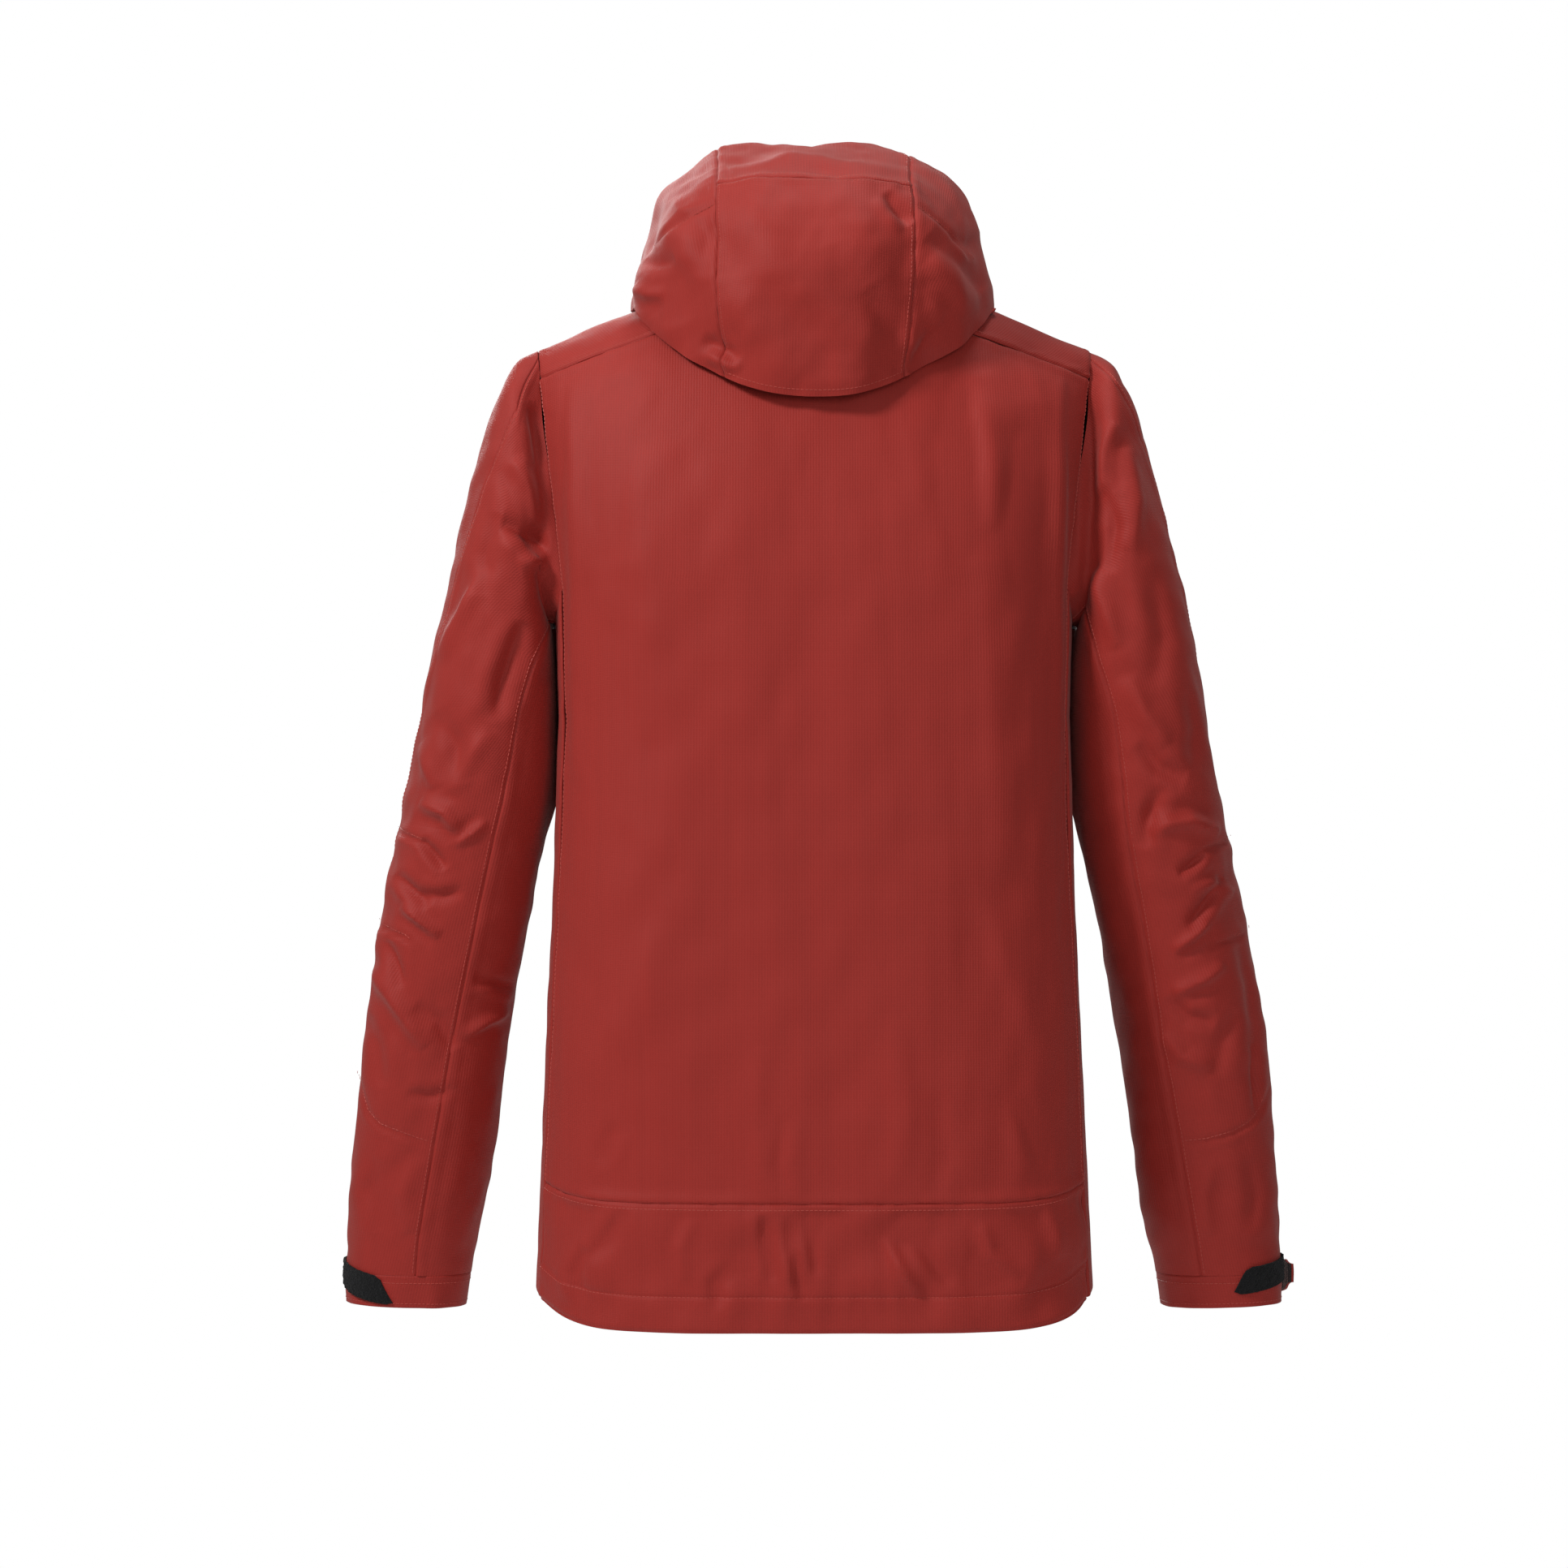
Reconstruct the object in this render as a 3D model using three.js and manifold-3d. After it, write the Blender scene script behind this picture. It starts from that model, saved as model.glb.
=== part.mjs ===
// Hooded hardshell jacket, zipped shut, hanging as it does when worn. Millimetres, +Z up, front towards -Y,
// the wearer's left towards +X. Inside this file heights start at the lowest point of the back hem.
import * as THREE from "three";
import { mergeVertices } from "three/addons/utils/BufferGeometryUtils.js";
import Module from "manifold-3d";

const wasm = await Module();
wasm.setup();

// Driving dimensions: body
const HEM_HALF_WIDTH = 210;
const WAIST_HALF_WIDTH = 190;
const UNDERARM_HALF_WIDTH = 192.5;
const SHOULDER_HALF_WIDTH = 214.5;
const BACK_DEPTH = 120;
const FRONT_DEPTH_HEM = 109;
const FRONT_DEPTH_CHEST = 98;
const WAIST_HEIGHT = 450;
const UNDERARM_HEIGHT = 546;
const ARMHOLE_DROP = 25;
const SHOULDER_CREST = 794;
const SHOULDER_SLOPE = 0.436;
const SHOULDER_ROUNDING = 60;
const SIDE_HEM_RISE = 25;
const HEM_BAND_HEIGHT = 94;
const HEM_BAND_SIDE_RISE = 14;
const SIDE_SEAM_ANGLE = 24;
const YOKE_SEAM_ANGLE = 60;
const NECK_HALF_WIDTH = 85;
const NECK_BACK_DEPTH = 65;
const NECK_FRONT_DEPTH = 93;

// Driving dimensions: cloth and clearances
const SHELL = 2.2;
const LINING = 1.2;
const LINING_DEPTH = 5.8;
const SEAM_GAP = 0.5;
const NECK_GAP = 2.4;
const ARMHOLE_GAP = 0.9;
const LAYER_GAP = 0.9;
const COLLAR_ALLOWANCE = 9;
const RUNNING_GAP = 0.3;

// Driving dimensions: collar, hem tunnel, zips and fastenings
const COLLAR_TOP_BACK = 815;
const COLLAR_TOP_FRONT = 775;
const HEM_TUNNEL_HEIGHT = 26;
const TUNNEL_END_X = 38;
const LINING_FRONT_X = 24;
const HEM_ELASTIC_DIAMETER = 2.4;
const ELASTIC_ROOM = 0.8;
const ELASTIC_HEIGHT = 11;
const ZIP_SLOT_HALF = 7;
const ZIP_BOTTOM = 30;
const COIL_WIDTH = 2.4;
const COIL_THICKNESS = 2.6;
const COIL_CENTRE_GAP = 0.75;
const TAPE_WIDTH = 11;
const TAPE_THICKNESS = 1;
const TAPE_ROOM = 3.1;
const SLIDER_HEIGHT = 13;
const PULL_LENGTH = 32;
const POCKET_ZIP_LENGTH = 160;
const POCKET_ZIP_BOTTOM = 205;
const POCKET_ZIP_X = 122;
const POCKET_ZIP_HALF = 6.7;
const LOOP_WIDTH = 8;
const LOOP_THICKNESS = 1.6;
const LOOP_HALF_SPAN = 24;
const LOOP_RISE = 22;
const LOOP_STAND_OFF = 4.3;
const CORD_LOCK_HEIGHT = 13;
const CORD_LOCK_RADIUS = 6;
const LOCK_BORE_DROP = 3;
const LOCK_WELL = 6;
const BUTTON_TRAVEL = 3;
const BUTTON_STEM = 6.5;

const DEGREES = Math.PI / 180;
const ARCH_LENGTH = 295; // cloth from the underarm level over a quarter turn to the shoulder ridge
const BODY_POWER = 3;
const FRONT_ARCH_POWER = 3;

const cloth = new THREE.MeshStandardMaterial({ color: 0x9a3832, roughness: 0.62, metalness: 0 });
const lining = new THREE.MeshStandardMaterial({ color: 0x2b2d31, roughness: 0.8, metalness: 0 });
const fleece = new THREE.MeshStandardMaterial({ color: 0x1d1e20, roughness: 0.95, metalness: 0 });
const zipCloth = new THREE.MeshStandardMaterial({ color: 0x7c2a26, roughness: 0.75, metalness: 0 });
const plastic = new THREE.MeshStandardMaterial({ color: 0x17181a, roughness: 0.45, metalness: 0 });
const metal = new THREE.MeshStandardMaterial({ color: 0x55585c, roughness: 0.35, metalness: 1 });

const lerp = (a, b, t) => a + (b - a) * t;
const clamp = (x) => Math.min(1, Math.max(0, x));

const jacket = new THREE.Group();

function addPiece(parent, name, geometry, material) {
  const mesh = new THREE.Mesh(geometry, material);
  mesh.name = name;
  parent.add(mesh);
  return mesh;
}

// A solid for cutting and joining, from any closed geometry.
function toSolid(geometry) {
  const bare = geometry.clone();
  bare.deleteAttribute("normal");
  bare.deleteAttribute("uv");
  const merged = mergeVertices(bare, 1e-4);
  return new wasm.Manifold(
    new wasm.Mesh({
      numProp: 3,
      vertProperties: new Float32Array(merged.attributes.position.array),
      triVerts: new Uint32Array(merged.index.array),
    }),
  );
}

function toGeometry(solid) {
  const mesh = solid.getMesh();
  const geometry = new THREE.BufferGeometry();
  geometry.setAttribute("position", new THREE.BufferAttribute(mesh.vertProperties, 3));
  geometry.setIndex(new THREE.BufferAttribute(mesh.triVerts, 1));
  return geometry;
}

function box(x0, x1, y0, y1, z0, z1) {
  const geometry = new THREE.BoxGeometry(x1 - x0, y1 - y0, z1 - z0);
  return geometry.translate((x0 + x1) / 2, (y0 + y1) / 2, (z0 + z1) / 2);
}

// A point at a depth under a surface: surface(u, v) moved against its outward normal, found from the slopes.
function pointAtDepth(surface, u, v, depth) {
  const step = 1e-4;
  const along = surface(u + step, v).sub(surface(u - step, v));
  const up = surface(u, v + step).sub(surface(u, v - step));
  const normal = along.cross(up).normalize();
  return surface(u, v).addScaledVector(normal, -depth);
}

// A closed piece of cloth between two depths under a surface, on a grid of u and v steps from 0 to 1.
function clothPiece(surface, uSteps, vSteps, outerDepth, innerDepth, tube = false) {
  const columns = tube ? uSteps : uSteps + 1;
  const rows = vSteps + 1;
  const positions = [];
  for (const depth of [outerDepth, innerDepth])
    for (let j = 0; j < rows; j++)
      for (let i = 0; i < columns; i++)
        positions.push(...pointAtDepth(surface, i / uSteps, j / vSteps, depth).toArray());
  const at = (side, i, j) => (side * rows + j) * columns + (i % columns);
  const faces = [];
  const quad = (a, b, c, d) => faces.push(a, b, c, a, c, d);
  for (let i = 0; i < uSteps; i++) {
    for (let j = 0; j < vSteps; j++) {
      quad(at(0, i, j), at(0, i + 1, j), at(0, i + 1, j + 1), at(0, i, j + 1));
      quad(at(1, i, j), at(1, i, j + 1), at(1, i + 1, j + 1), at(1, i + 1, j));
    }
    quad(at(0, i, 0), at(1, i, 0), at(1, i + 1, 0), at(0, i + 1, 0));
    quad(at(0, i + 1, vSteps), at(1, i + 1, vSteps), at(1, i, vSteps), at(0, i, vSteps));
  }
  if (!tube)
    for (let j = 0; j < vSteps; j++) {
      quad(at(0, 0, j + 1), at(1, 0, j + 1), at(1, 0, j), at(0, 0, j));
      quad(at(0, uSteps, j), at(1, uSteps, j), at(1, uSteps, j + 1), at(0, uSteps, j + 1));
    }
  const geometry = new THREE.BufferGeometry();
  geometry.setAttribute("position", new THREE.Float32BufferAttribute(positions, 3));
  geometry.setIndex(faces);
  return geometry;
}

// ---- Body shape ----

// Radius of a unit superellipse in a direction.
function unitRadius(angle) {
  const c = Math.abs(Math.cos(angle)) ** BODY_POWER;
  const s = Math.abs(Math.sin(angle)) ** BODY_POWER;
  return (c + s) ** (-1 / BODY_POWER);
}

const sideFraction = unitRadius(SIDE_SEAM_ANGLE * DEGREES) * Math.cos(SIDE_SEAM_ANGLE * DEGREES);

function halfWidth(z) {
  const below = clamp((WAIST_HEIGHT - z) / WAIST_HEIGHT);
  const above = clamp((z - WAIST_HEIGHT) / (UNDERARM_HEIGHT - WAIST_HEIGHT));
  const flared = lerp(WAIST_HALF_WIDTH, HEM_HALF_WIDTH, below);
  return flared + (UNDERARM_HALF_WIDTH - WAIST_HALF_WIDTH) * above;
}

function ridgeHeight(x) {
  return SHOULDER_CREST - SHOULDER_SLOPE * (Math.hypot(x, SHOULDER_ROUNDING) - SHOULDER_ROUNDING);
}

function frontDepth(z) {
  return lerp(FRONT_DEPTH_HEM, FRONT_DEPTH_CHEST, clamp(z / UNDERARM_HEIGHT));
}

// The shoulder arch: across is x as a share of the half width, turn goes from 0 at the back of the chest
// over the ridge at 90 degrees to 180 at the front of the chest.
function archPoint(across, turn) {
  const front = turn > 90 * DEGREES;
  const sine = Math.sin(turn);
  const x = across * lerp(UNDERARM_HALF_WIDTH, SHOULDER_HALF_WIDTH, sine);
  const profile = (1 - Math.min(1, Math.abs(across) ** BODY_POWER)) ** (1 / BODY_POWER);
  const depth = front ? -frontDepth(UNDERARM_HEIGHT) : BACK_DEPTH;
  const lean = front
    ? Math.max(0, 1 - sine ** FRONT_ARCH_POWER) ** (1 / FRONT_ARCH_POWER)
    : Math.cos(turn);
  const z = lerp(UNDERARM_HEIGHT, ridgeHeight(x), sine);
  return new THREE.Vector3(x, profile * depth * lean, z);
}

// The body's outer cloth: angle runs round from the wearer's left side (0) to the back (90) and on,
// and rise is the distance up the cloth from the underarm level.
function bodyPoint(angle, rise) {
  const radius = unitRadius(angle);
  const across = radius * Math.cos(angle);
  const back = Math.sin(angle) > 0;
  if (rise > 0) {
    const turn = (rise / ARCH_LENGTH) * 90 * DEGREES;
    return archPoint(across, back ? turn : Math.PI - turn);
  }
  const z = UNDERARM_HEIGHT + rise;
  const depth = back ? BACK_DEPTH : frontDepth(z);
  return new THREE.Vector3(across * halfWidth(z), radius * Math.sin(angle) * depth, z);
}

function hemHeight(angle) {
  const across = Math.abs(unitRadius(angle) * Math.cos(angle));
  return Math.sin(angle) > 0 ? SIDE_HEM_RISE * across ** 10 : SIDE_HEM_RISE;
}

function bandSeamHeight(angle) {
  const across = Math.abs(unitRadius(angle) * Math.cos(angle));
  return HEM_BAND_HEIGHT + HEM_BAND_SIDE_RISE * across ** 10;
}

// How far up the arch the cloth reaches at an angle: to the yoke seam, or to the neckline near the centre.
function archTop(angle, neckDepth, depth) {
  const across = unitRadius(angle) * Math.cos(angle);
  const along = Math.abs(unitRadius(angle) * Math.sin(angle));
  const x = (across * (UNDERARM_HALF_WIDTH + SHOULDER_HALF_WIDTH)) / 2;
  const inHole = 1 - (x / (NECK_HALF_WIDTH + NECK_GAP)) ** 2;
  if (inHole <= 0) return YOKE_SEAM_ANGLE;
  const share = Math.min(1, ((neckDepth + NECK_GAP) * Math.sqrt(inHole)) / (along * depth));
  const front = Math.sin(angle) < 0;
  const sine = front ? (1 - share ** FRONT_ARCH_POWER) ** (1 / FRONT_ARCH_POWER) : Math.sqrt(1 - share ** 2);
  return Math.min(YOKE_SEAM_ANGLE, Math.asin(sine) / DEGREES);
}

const backTop = (angle) => (archTop(angle, NECK_BACK_DEPTH, BACK_DEPTH) / 90) * ARCH_LENGTH;
const frontTop = (angle) => (archTop(angle, NECK_FRONT_DEPTH, frontDepth(UNDERARM_HEIGHT)) / 90) * ARCH_LENGTH;
const seamAngle = SEAM_GAP / BACK_DEPTH / 2;
const sideSeam = SIDE_SEAM_ANGLE * DEGREES;
const zipAngle = Math.atan(ZIP_SLOT_HALF / UNDERARM_HALF_WIDTH);
const mirrored = (angle, side) => (side > 0 ? angle : Math.PI - angle);

// A panel between two angles and two heights; side -1 mirrors it to the wearer's right.
function panel(angle0, angle1, low, high, side = 1) {
  return (u, v) => {
    const angle = lerp(angle0, angle1, side > 0 ? u : 1 - u);
    return bodyPoint(mirrored(angle, side), lerp(low(angle), high(angle), v));
  };
}

const hemRise = (angle) => hemHeight(angle) - UNDERARM_HEIGHT;
const bandRise = (angle) => bandSeamHeight(angle) - UNDERARM_HEIGHT;
const overSeam = (edge) => (angle) => edge(angle) + SEAM_GAP / 2;
const underSeam = (edge) => (angle) => edge(angle) - SEAM_GAP / 2;
const armholeRise = (angle) => -ARMHOLE_DROP * Math.sqrt(Math.max(0, 1 - (angle / sideSeam) ** 2));

// ---- Outer body panels ----
const backStart = sideSeam + seamAngle;
const backEnd = Math.PI - backStart;
const backPanel = panel(backStart, backEnd, overSeam(bandRise), underSeam(backTop));
addPiece(jacket, "back_panel", clothPiece(backPanel, 16, 12, 0, SHELL), cloth);
const backBand = panel(backStart, backEnd, hemRise, underSeam(bandRise));
addPiece(jacket, "back_hem_band", clothPiece(backBand, 16, 2, 0, SHELL), cloth);

const frontStart = -90 * DEGREES + zipAngle;
const frontEnd = -sideSeam - seamAngle;
const sideEnd = sideSeam - seamAngle;

const pocketLean = Math.atan((FRONT_DEPTH_HEM - FRONT_DEPTH_CHEST) / UNDERARM_HEIGHT);

// The group that holds a hand pocket's zip, flush with the front panel.
function pocketFrame(side) {
  const z = POCKET_ZIP_BOTTOM;
  const share = POCKET_ZIP_X / halfWidth(z);
  const profile = (1 - share ** BODY_POWER) ** (1 / BODY_POWER);
  const slope = ((frontDepth(z) * share ** 2) / halfWidth(z)) * profile ** (1 - BODY_POWER);
  const pocket = new THREE.Group();
  pocket.position.set(side * POCKET_ZIP_X, -frontDepth(z) * profile, z);
  pocket.rotation.set(-pocketLean, 0, side * Math.atan(slope));
  pocket.updateMatrix();
  return pocket;
}

for (const [side, word] of [[1, "left"], [-1, "right"]]) {
  const sidePanel = panel(-sideEnd, sideEnd, hemRise, underSeam(armholeRise), side);
  addPiece(jacket, `side_panel_${word}`, clothPiece(sidePanel, 6, 8, 0, SHELL), cloth);

  const frontPanel = panel(frontStart, frontEnd, hemRise, underSeam(frontTop), side);
  const slotHalf = POCKET_ZIP_HALF + SEAM_GAP;
  const slot = box(-slotHalf, slotHalf, -12, 12, -SEAM_GAP, POCKET_ZIP_LENGTH + SEAM_GAP);
  const cutter = toSolid(slot.applyMatrix4(pocketFrame(side).matrix));
  const cut = toSolid(clothPiece(frontPanel, 9, 12, 0, SHELL)).subtract(cutter);
  addPiece(jacket, `front_panel_${word}`, toGeometry(cut), cloth);

  const yoke = (u, v) => {
    const margin = SEAM_GAP / ARCH_LENGTH;
    const turn = lerp(YOKE_SEAM_ANGLE + margin * 90, 180 - YOKE_SEAM_ANGLE - margin * 90, v) * DEGREES;
    const back = turn < 90 * DEGREES;
    const neckDepth = (back ? NECK_BACK_DEPTH : NECK_FRONT_DEPTH) + NECK_GAP;
    const depth = back ? BACK_DEPTH : frontDepth(UNDERARM_HEIGHT);
    const lean = Math.abs(archPoint(0, turn).y) / depth;
    const width = lerp(UNDERARM_HALF_WIDTH, SHOULDER_HALF_WIDTH, Math.sin(turn));
    const hole = Math.sqrt(Math.max(0, 1 - ((0.985 * depth * lean) / neckDepth) ** 2));
    const inner = ((NECK_HALF_WIDTH + NECK_GAP) * hole) / width;
    const across = side > 0 ? lerp(sideFraction, inner, u) : -lerp(inner, sideFraction, u);
    return archPoint(across, turn);
  };
  addPiece(jacket, `shoulder_yoke_${word}`, clothPiece(yoke, 6, 8, 0, SHELL), cloth);
}

// ---- Lining ----
const liningBottom = (angle) => hemHeight(angle) + HEM_TUNNEL_HEIGHT + LAYER_GAP - UNDERARM_HEIGHT;
const belowCollar = (edge) => (angle) => edge(angle) - COLLAR_ALLOWANCE;
const liningInner = LINING_DEPTH + LINING;
const liningBack = panel(backStart, backEnd, liningBottom, belowCollar(backTop));
addPiece(jacket, "lining_back", clothPiece(liningBack, 14, 8, LINING_DEPTH, liningInner), lining);
const liningAngle = LINING_FRONT_X / UNDERARM_HALF_WIDTH;
for (const [side, word] of [[1, "left"], [-1, "right"]]) {
  const front = panel(-90 * DEGREES + liningAngle, frontEnd, liningBottom, belowCollar(frontTop), side);
  addPiece(jacket, `lining_front_${word}`, clothPiece(front, 7, 8, LINING_DEPTH, liningInner), lining);
  const flank = panel(-sideEnd, sideEnd, liningBottom, underSeam(armholeRise), side);
  addPiece(jacket, `lining_side_${word}`, clothPiece(flank, 6, 5, LINING_DEPTH, liningInner), lining);
}

// ---- Hem tunnel: facing, elastic and the two cord locks ----
const tunnelAngle = TUNNEL_END_X / UNDERARM_HALF_WIDTH;
const tunnelStart = -90 * DEGREES + tunnelAngle;
const tunnelEnd = 270 * DEGREES - tunnelAngle;
const hemFacing = (u, v) => {
  const angle = lerp(tunnelStart, tunnelEnd, u);
  return bodyPoint(angle, hemRise(angle) + lerp(2, HEM_TUNNEL_HEIGHT, v));
};
const tunnelDepth = SHELL + HEM_ELASTIC_DIAMETER + 2 * ELASTIC_ROOM;
addPiece(jacket, "hem_facing", clothPiece(hemFacing, 40, 1, tunnelDepth, tunnelDepth + LINING), lining);

class HemPath extends THREE.Curve {
  getPoint(t) {
    const angle = lerp(tunnelStart, tunnelEnd, t);
    const middle = SHELL + ELASTIC_ROOM + HEM_ELASTIC_DIAMETER / 2;
    const surface = (u, v) => bodyPoint(u, v);
    return pointAtDepth(surface, angle, hemRise(angle) + ELASTIC_HEIGHT, middle);
  }
}
const elasticSection = new THREE.Shape();
elasticSection.absarc(0, 0, HEM_ELASTIC_DIAMETER / 2, 0, Math.PI * 2);
const elastic = new THREE.ExtrudeGeometry(elasticSection, {
  extrudePath: new HemPath(),
  steps: 56,
  curveSegments: 3,
  bevelEnabled: false,
});
addPiece(jacket, "hem_elastic", elastic, plastic);

const lockBody = (() => {
  const outer = new THREE.CylinderGeometry(CORD_LOCK_RADIUS, CORD_LOCK_RADIUS, CORD_LOCK_HEIGHT, 12);
  const well = new THREE.CylinderGeometry(CORD_LOCK_RADIUS - 1.5, CORD_LOCK_RADIUS - 1.5, 2 * LOCK_WELL, 12);
  const bore = new THREE.CylinderGeometry(1.9, 1.9, 20, 8).rotateZ(90 * DEGREES);
  const top = CORD_LOCK_HEIGHT / 2;
  return toSolid(outer).subtract(toSolid(well.translate(0, top, 0))).subtract(toSolid(bore.translate(0, -LOCK_BORE_DROP, 0)));
})();
const lockButton = (() => {
  const stem = new THREE.CylinderGeometry(CORD_LOCK_RADIUS - 1.8, CORD_LOCK_RADIUS - 1.8, BUTTON_STEM, 12);
  const cap = new THREE.CylinderGeometry(CORD_LOCK_RADIUS - 2.4, CORD_LOCK_RADIUS - 1.8, 1.4, 12);
  return toSolid(stem).add(toSolid(cap.translate(0, BUTTON_STEM / 2 + 0.7, 0)));
})();
const lockEnd = new HemPath();
for (const [side, word] of [[1, "left"], [-1, "right"]]) {
  const end = lockEnd.getPoint(side > 0 ? 0 : 1);
  const lock = new THREE.Group();
  lock.position.set(end.x - side * (CORD_LOCK_RADIUS + RUNNING_GAP), end.y + CORD_LOCK_RADIUS - 1, end.z + LOCK_BORE_DROP);
  lock.rotation.x = 90 * DEGREES;
  jacket.add(lock);
  addPiece(lock, `hem_cord_lock_${word}`, toGeometry(lockBody), plastic);
  const button = addPiece(lock, `hem_cord_button_${word}`, toGeometry(lockButton), plastic);
  button.position.y = CORD_LOCK_HEIGHT / 2 - LOCK_WELL + BUTTON_TRAVEL + 0.2 + BUTTON_STEM / 2;
}

// ---- Collar ----
const collarEnd = 90 * DEGREES - zipAngle * (UNDERARM_HALF_WIDTH / NECK_HALF_WIDTH);

// The neckline seen from above, and the height of the body's cloth on it.
function neckPoint(angle) {
  const depth = Math.sin(angle) > 0 ? NECK_BACK_DEPTH : NECK_FRONT_DEPTH;
  const x = NECK_HALF_WIDTH * Math.cos(angle);
  const y = depth * Math.sin(angle);
  const bodyDepth = Math.sin(angle) > 0 ? BACK_DEPTH : frontDepth(UNDERARM_HEIGHT);
  const profile = (1 - Math.abs(x / SHOULDER_HALF_WIDTH) ** BODY_POWER) ** (1 / BODY_POWER);
  const share = Math.min(1, Math.abs(y) / (bodyDepth * profile));
  const power = Math.sin(angle) > 0 ? 2 : FRONT_ARCH_POWER;
  const sine = (1 - share ** power) ** (1 / power);
  return new THREE.Vector3(x, y, lerp(UNDERARM_HEIGHT, ridgeHeight(x), sine));
}

function collarSurface(endAngle, below) {
  return (u, v) => {
    const angle = lerp(-endAngle, Math.PI + endAngle, u);
    const foot = neckPoint(angle);
    const top = lerp(COLLAR_TOP_FRONT, COLLAR_TOP_BACK, (1 + Math.sin(angle)) / 2);
    return foot.setZ(lerp(foot.z - below, top, v));
  };
}
addPiece(jacket, "collar", clothPiece(collarSurface(collarEnd, 6), 24, 3, 0, SHELL), cloth);
const liningEnd = 90 * DEGREES - LINING_FRONT_X / NECK_HALF_WIDTH;
const collarInner = SHELL + LAYER_GAP;
const collarLining = clothPiece(collarSurface(liningEnd, 8), 20, 2, collarInner, collarInner + LINING);
addPiece(jacket, "collar_lining", collarLining, fleece);

// ---- Main zip: a straight line from the hem to the chin, leaning back with the front panels ----
const zipTop = COLLAR_TOP_FRONT - 5;
const zipLean = Math.atan((FRONT_DEPTH_HEM - NECK_FRONT_DEPTH - 1) / (COLLAR_TOP_FRONT - 95));
const zip = new THREE.Group();
zip.position.set(0, -FRONT_DEPTH_HEM, 0);
zip.rotation.x = -zipLean;
jacket.add(zip);
const tapeDepth = SHELL + TAPE_ROOM;
const tapeBack = tapeDepth + TAPE_THICKNESS;
const coilFront = tapeBack - COIL_THICKNESS;
const coilEdge = COIL_CENTRE_GAP + COIL_WIDTH;
for (const [side, word] of [[1, "left"], [-1, "right"]]) {
  const strip = (near, far, front, back, low, high) =>
    side > 0 ? box(near, far, front, back, low, high) : box(-far, -near, front, back, low, high);
  const tape = strip(coilEdge + RUNNING_GAP, coilEdge + TAPE_WIDTH, tapeDepth, tapeBack, ZIP_BOTTOM, zipTop);
  addPiece(zip, `main_zip_tape_${word}`, tape, zipCloth);
  const coil = strip(COIL_CENTRE_GAP, coilEdge, coilFront, tapeBack, ZIP_BOTTOM + 12, zipTop - 2);
  addPiece(zip, `main_zip_coil_${word}`, coil, plastic);
}
const stopBox = box(-coilEdge, coilEdge, coilFront, tapeBack, ZIP_BOTTOM, ZIP_BOTTOM + 11.5);
addPiece(zip, "main_zip_stop_box", stopBox, metal);

// A slider seen from the front, with a bail that carries its pull on a cross bar, and the pull itself.
// depthFront and depthBack are the two faces that its plates run along.
const BAIL_REACH = 3.4;
const BAR_HALF = 0.6;
function sliderSolid(half, depthFront, depthBack, plate, webHalf) {
  const whole = toSolid(box(-half, half, depthFront - plate, depthBack + plate, -SLIDER_HEIGHT, 0));
  const channel = (near, far) => toSolid(box(near, far, depthFront, depthBack, -SLIDER_HEIGHT - 1, 1));
  const bail = toSolid(box(-1.3, 1.3, depthFront - plate - BAIL_REACH, depthFront - plate, -6.7, -2.3));
  const hole = new THREE.CylinderGeometry(0.95, 0.95, 6, 12).rotateZ(90 * DEGREES);
  const eye = toSolid(hole.translate(0, depthFront - plate - BAIL_REACH / 2, -4.5));
  let body = whole.subtract(channel(webHalf, half + 1)).subtract(channel(-half - 1, -webHalf));
  body = body.add(bail).subtract(eye);
  return toGeometry(body);
}

// A flat pull with its cross bar on the local X axis; it hangs down the local -Z.
function pullSolid(length, half) {
  const outline = new THREE.Shape();
  outline.moveTo(-3.2, BAR_HALF);
  outline.lineTo(3.2, BAR_HALF);
  outline.lineTo(3.2, -6);
  outline.lineTo(half, -9);
  outline.lineTo(half, -length + 2);
  outline.lineTo(half - 2, -length);
  outline.lineTo(-half + 2, -length);
  outline.lineTo(-half, -length + 2);
  outline.lineTo(-half, -9);
  outline.lineTo(-3.2, -6);
  const window = new THREE.Path();
  window.moveTo(-1.8, -BAR_HALF);
  window.lineTo(-1.8, -4.6);
  window.lineTo(1.8, -4.6);
  window.lineTo(1.8, -BAR_HALF);
  outline.holes.push(window);
  const plate = new THREE.ExtrudeGeometry(outline, { depth: 2 * BAR_HALF, bevelEnabled: false });
  return plate.rotateX(90 * DEGREES).translate(0, BAR_HALF, 0);
}

const sliderFront = coilFront - RUNNING_GAP;
const sliderBack = tapeBack + RUNNING_GAP;
const sliderTop = zipTop - 3;
const mainSlider = sliderSolid(5.2, sliderFront, sliderBack, 1.6, COIL_CENTRE_GAP - RUNNING_GAP);
addPiece(zip, "main_zip_slider", mainSlider, metal).position.z = sliderTop;
const mainPull = addPiece(zip, "main_zip_pull", pullSolid(PULL_LENGTH, 3.8), plastic);
mainPull.position.set(0, sliderFront - 1.6 - BAIL_REACH / 2, sliderTop - 4.5);

// The storm flap behind the zip: a flat strip whose left edge turns forward to the seam beside the tape.
const flapFront = sliderBack + 1.6 + 1;
const flapEdge = coilEdge + TAPE_WIDTH + SEAM_GAP;
const flap = toSolid(box(-17, flapEdge + 2.4, flapFront, flapFront + LINING, ZIP_BOTTOM, zipTop)).add(
  toSolid(box(flapEdge, flapEdge + 2.4, tapeDepth + 0.4, flapFront + 0.5, ZIP_BOTTOM, zipTop)),
);
addPiece(zip, "storm_flap", toGeometry(flap), lining);

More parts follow.
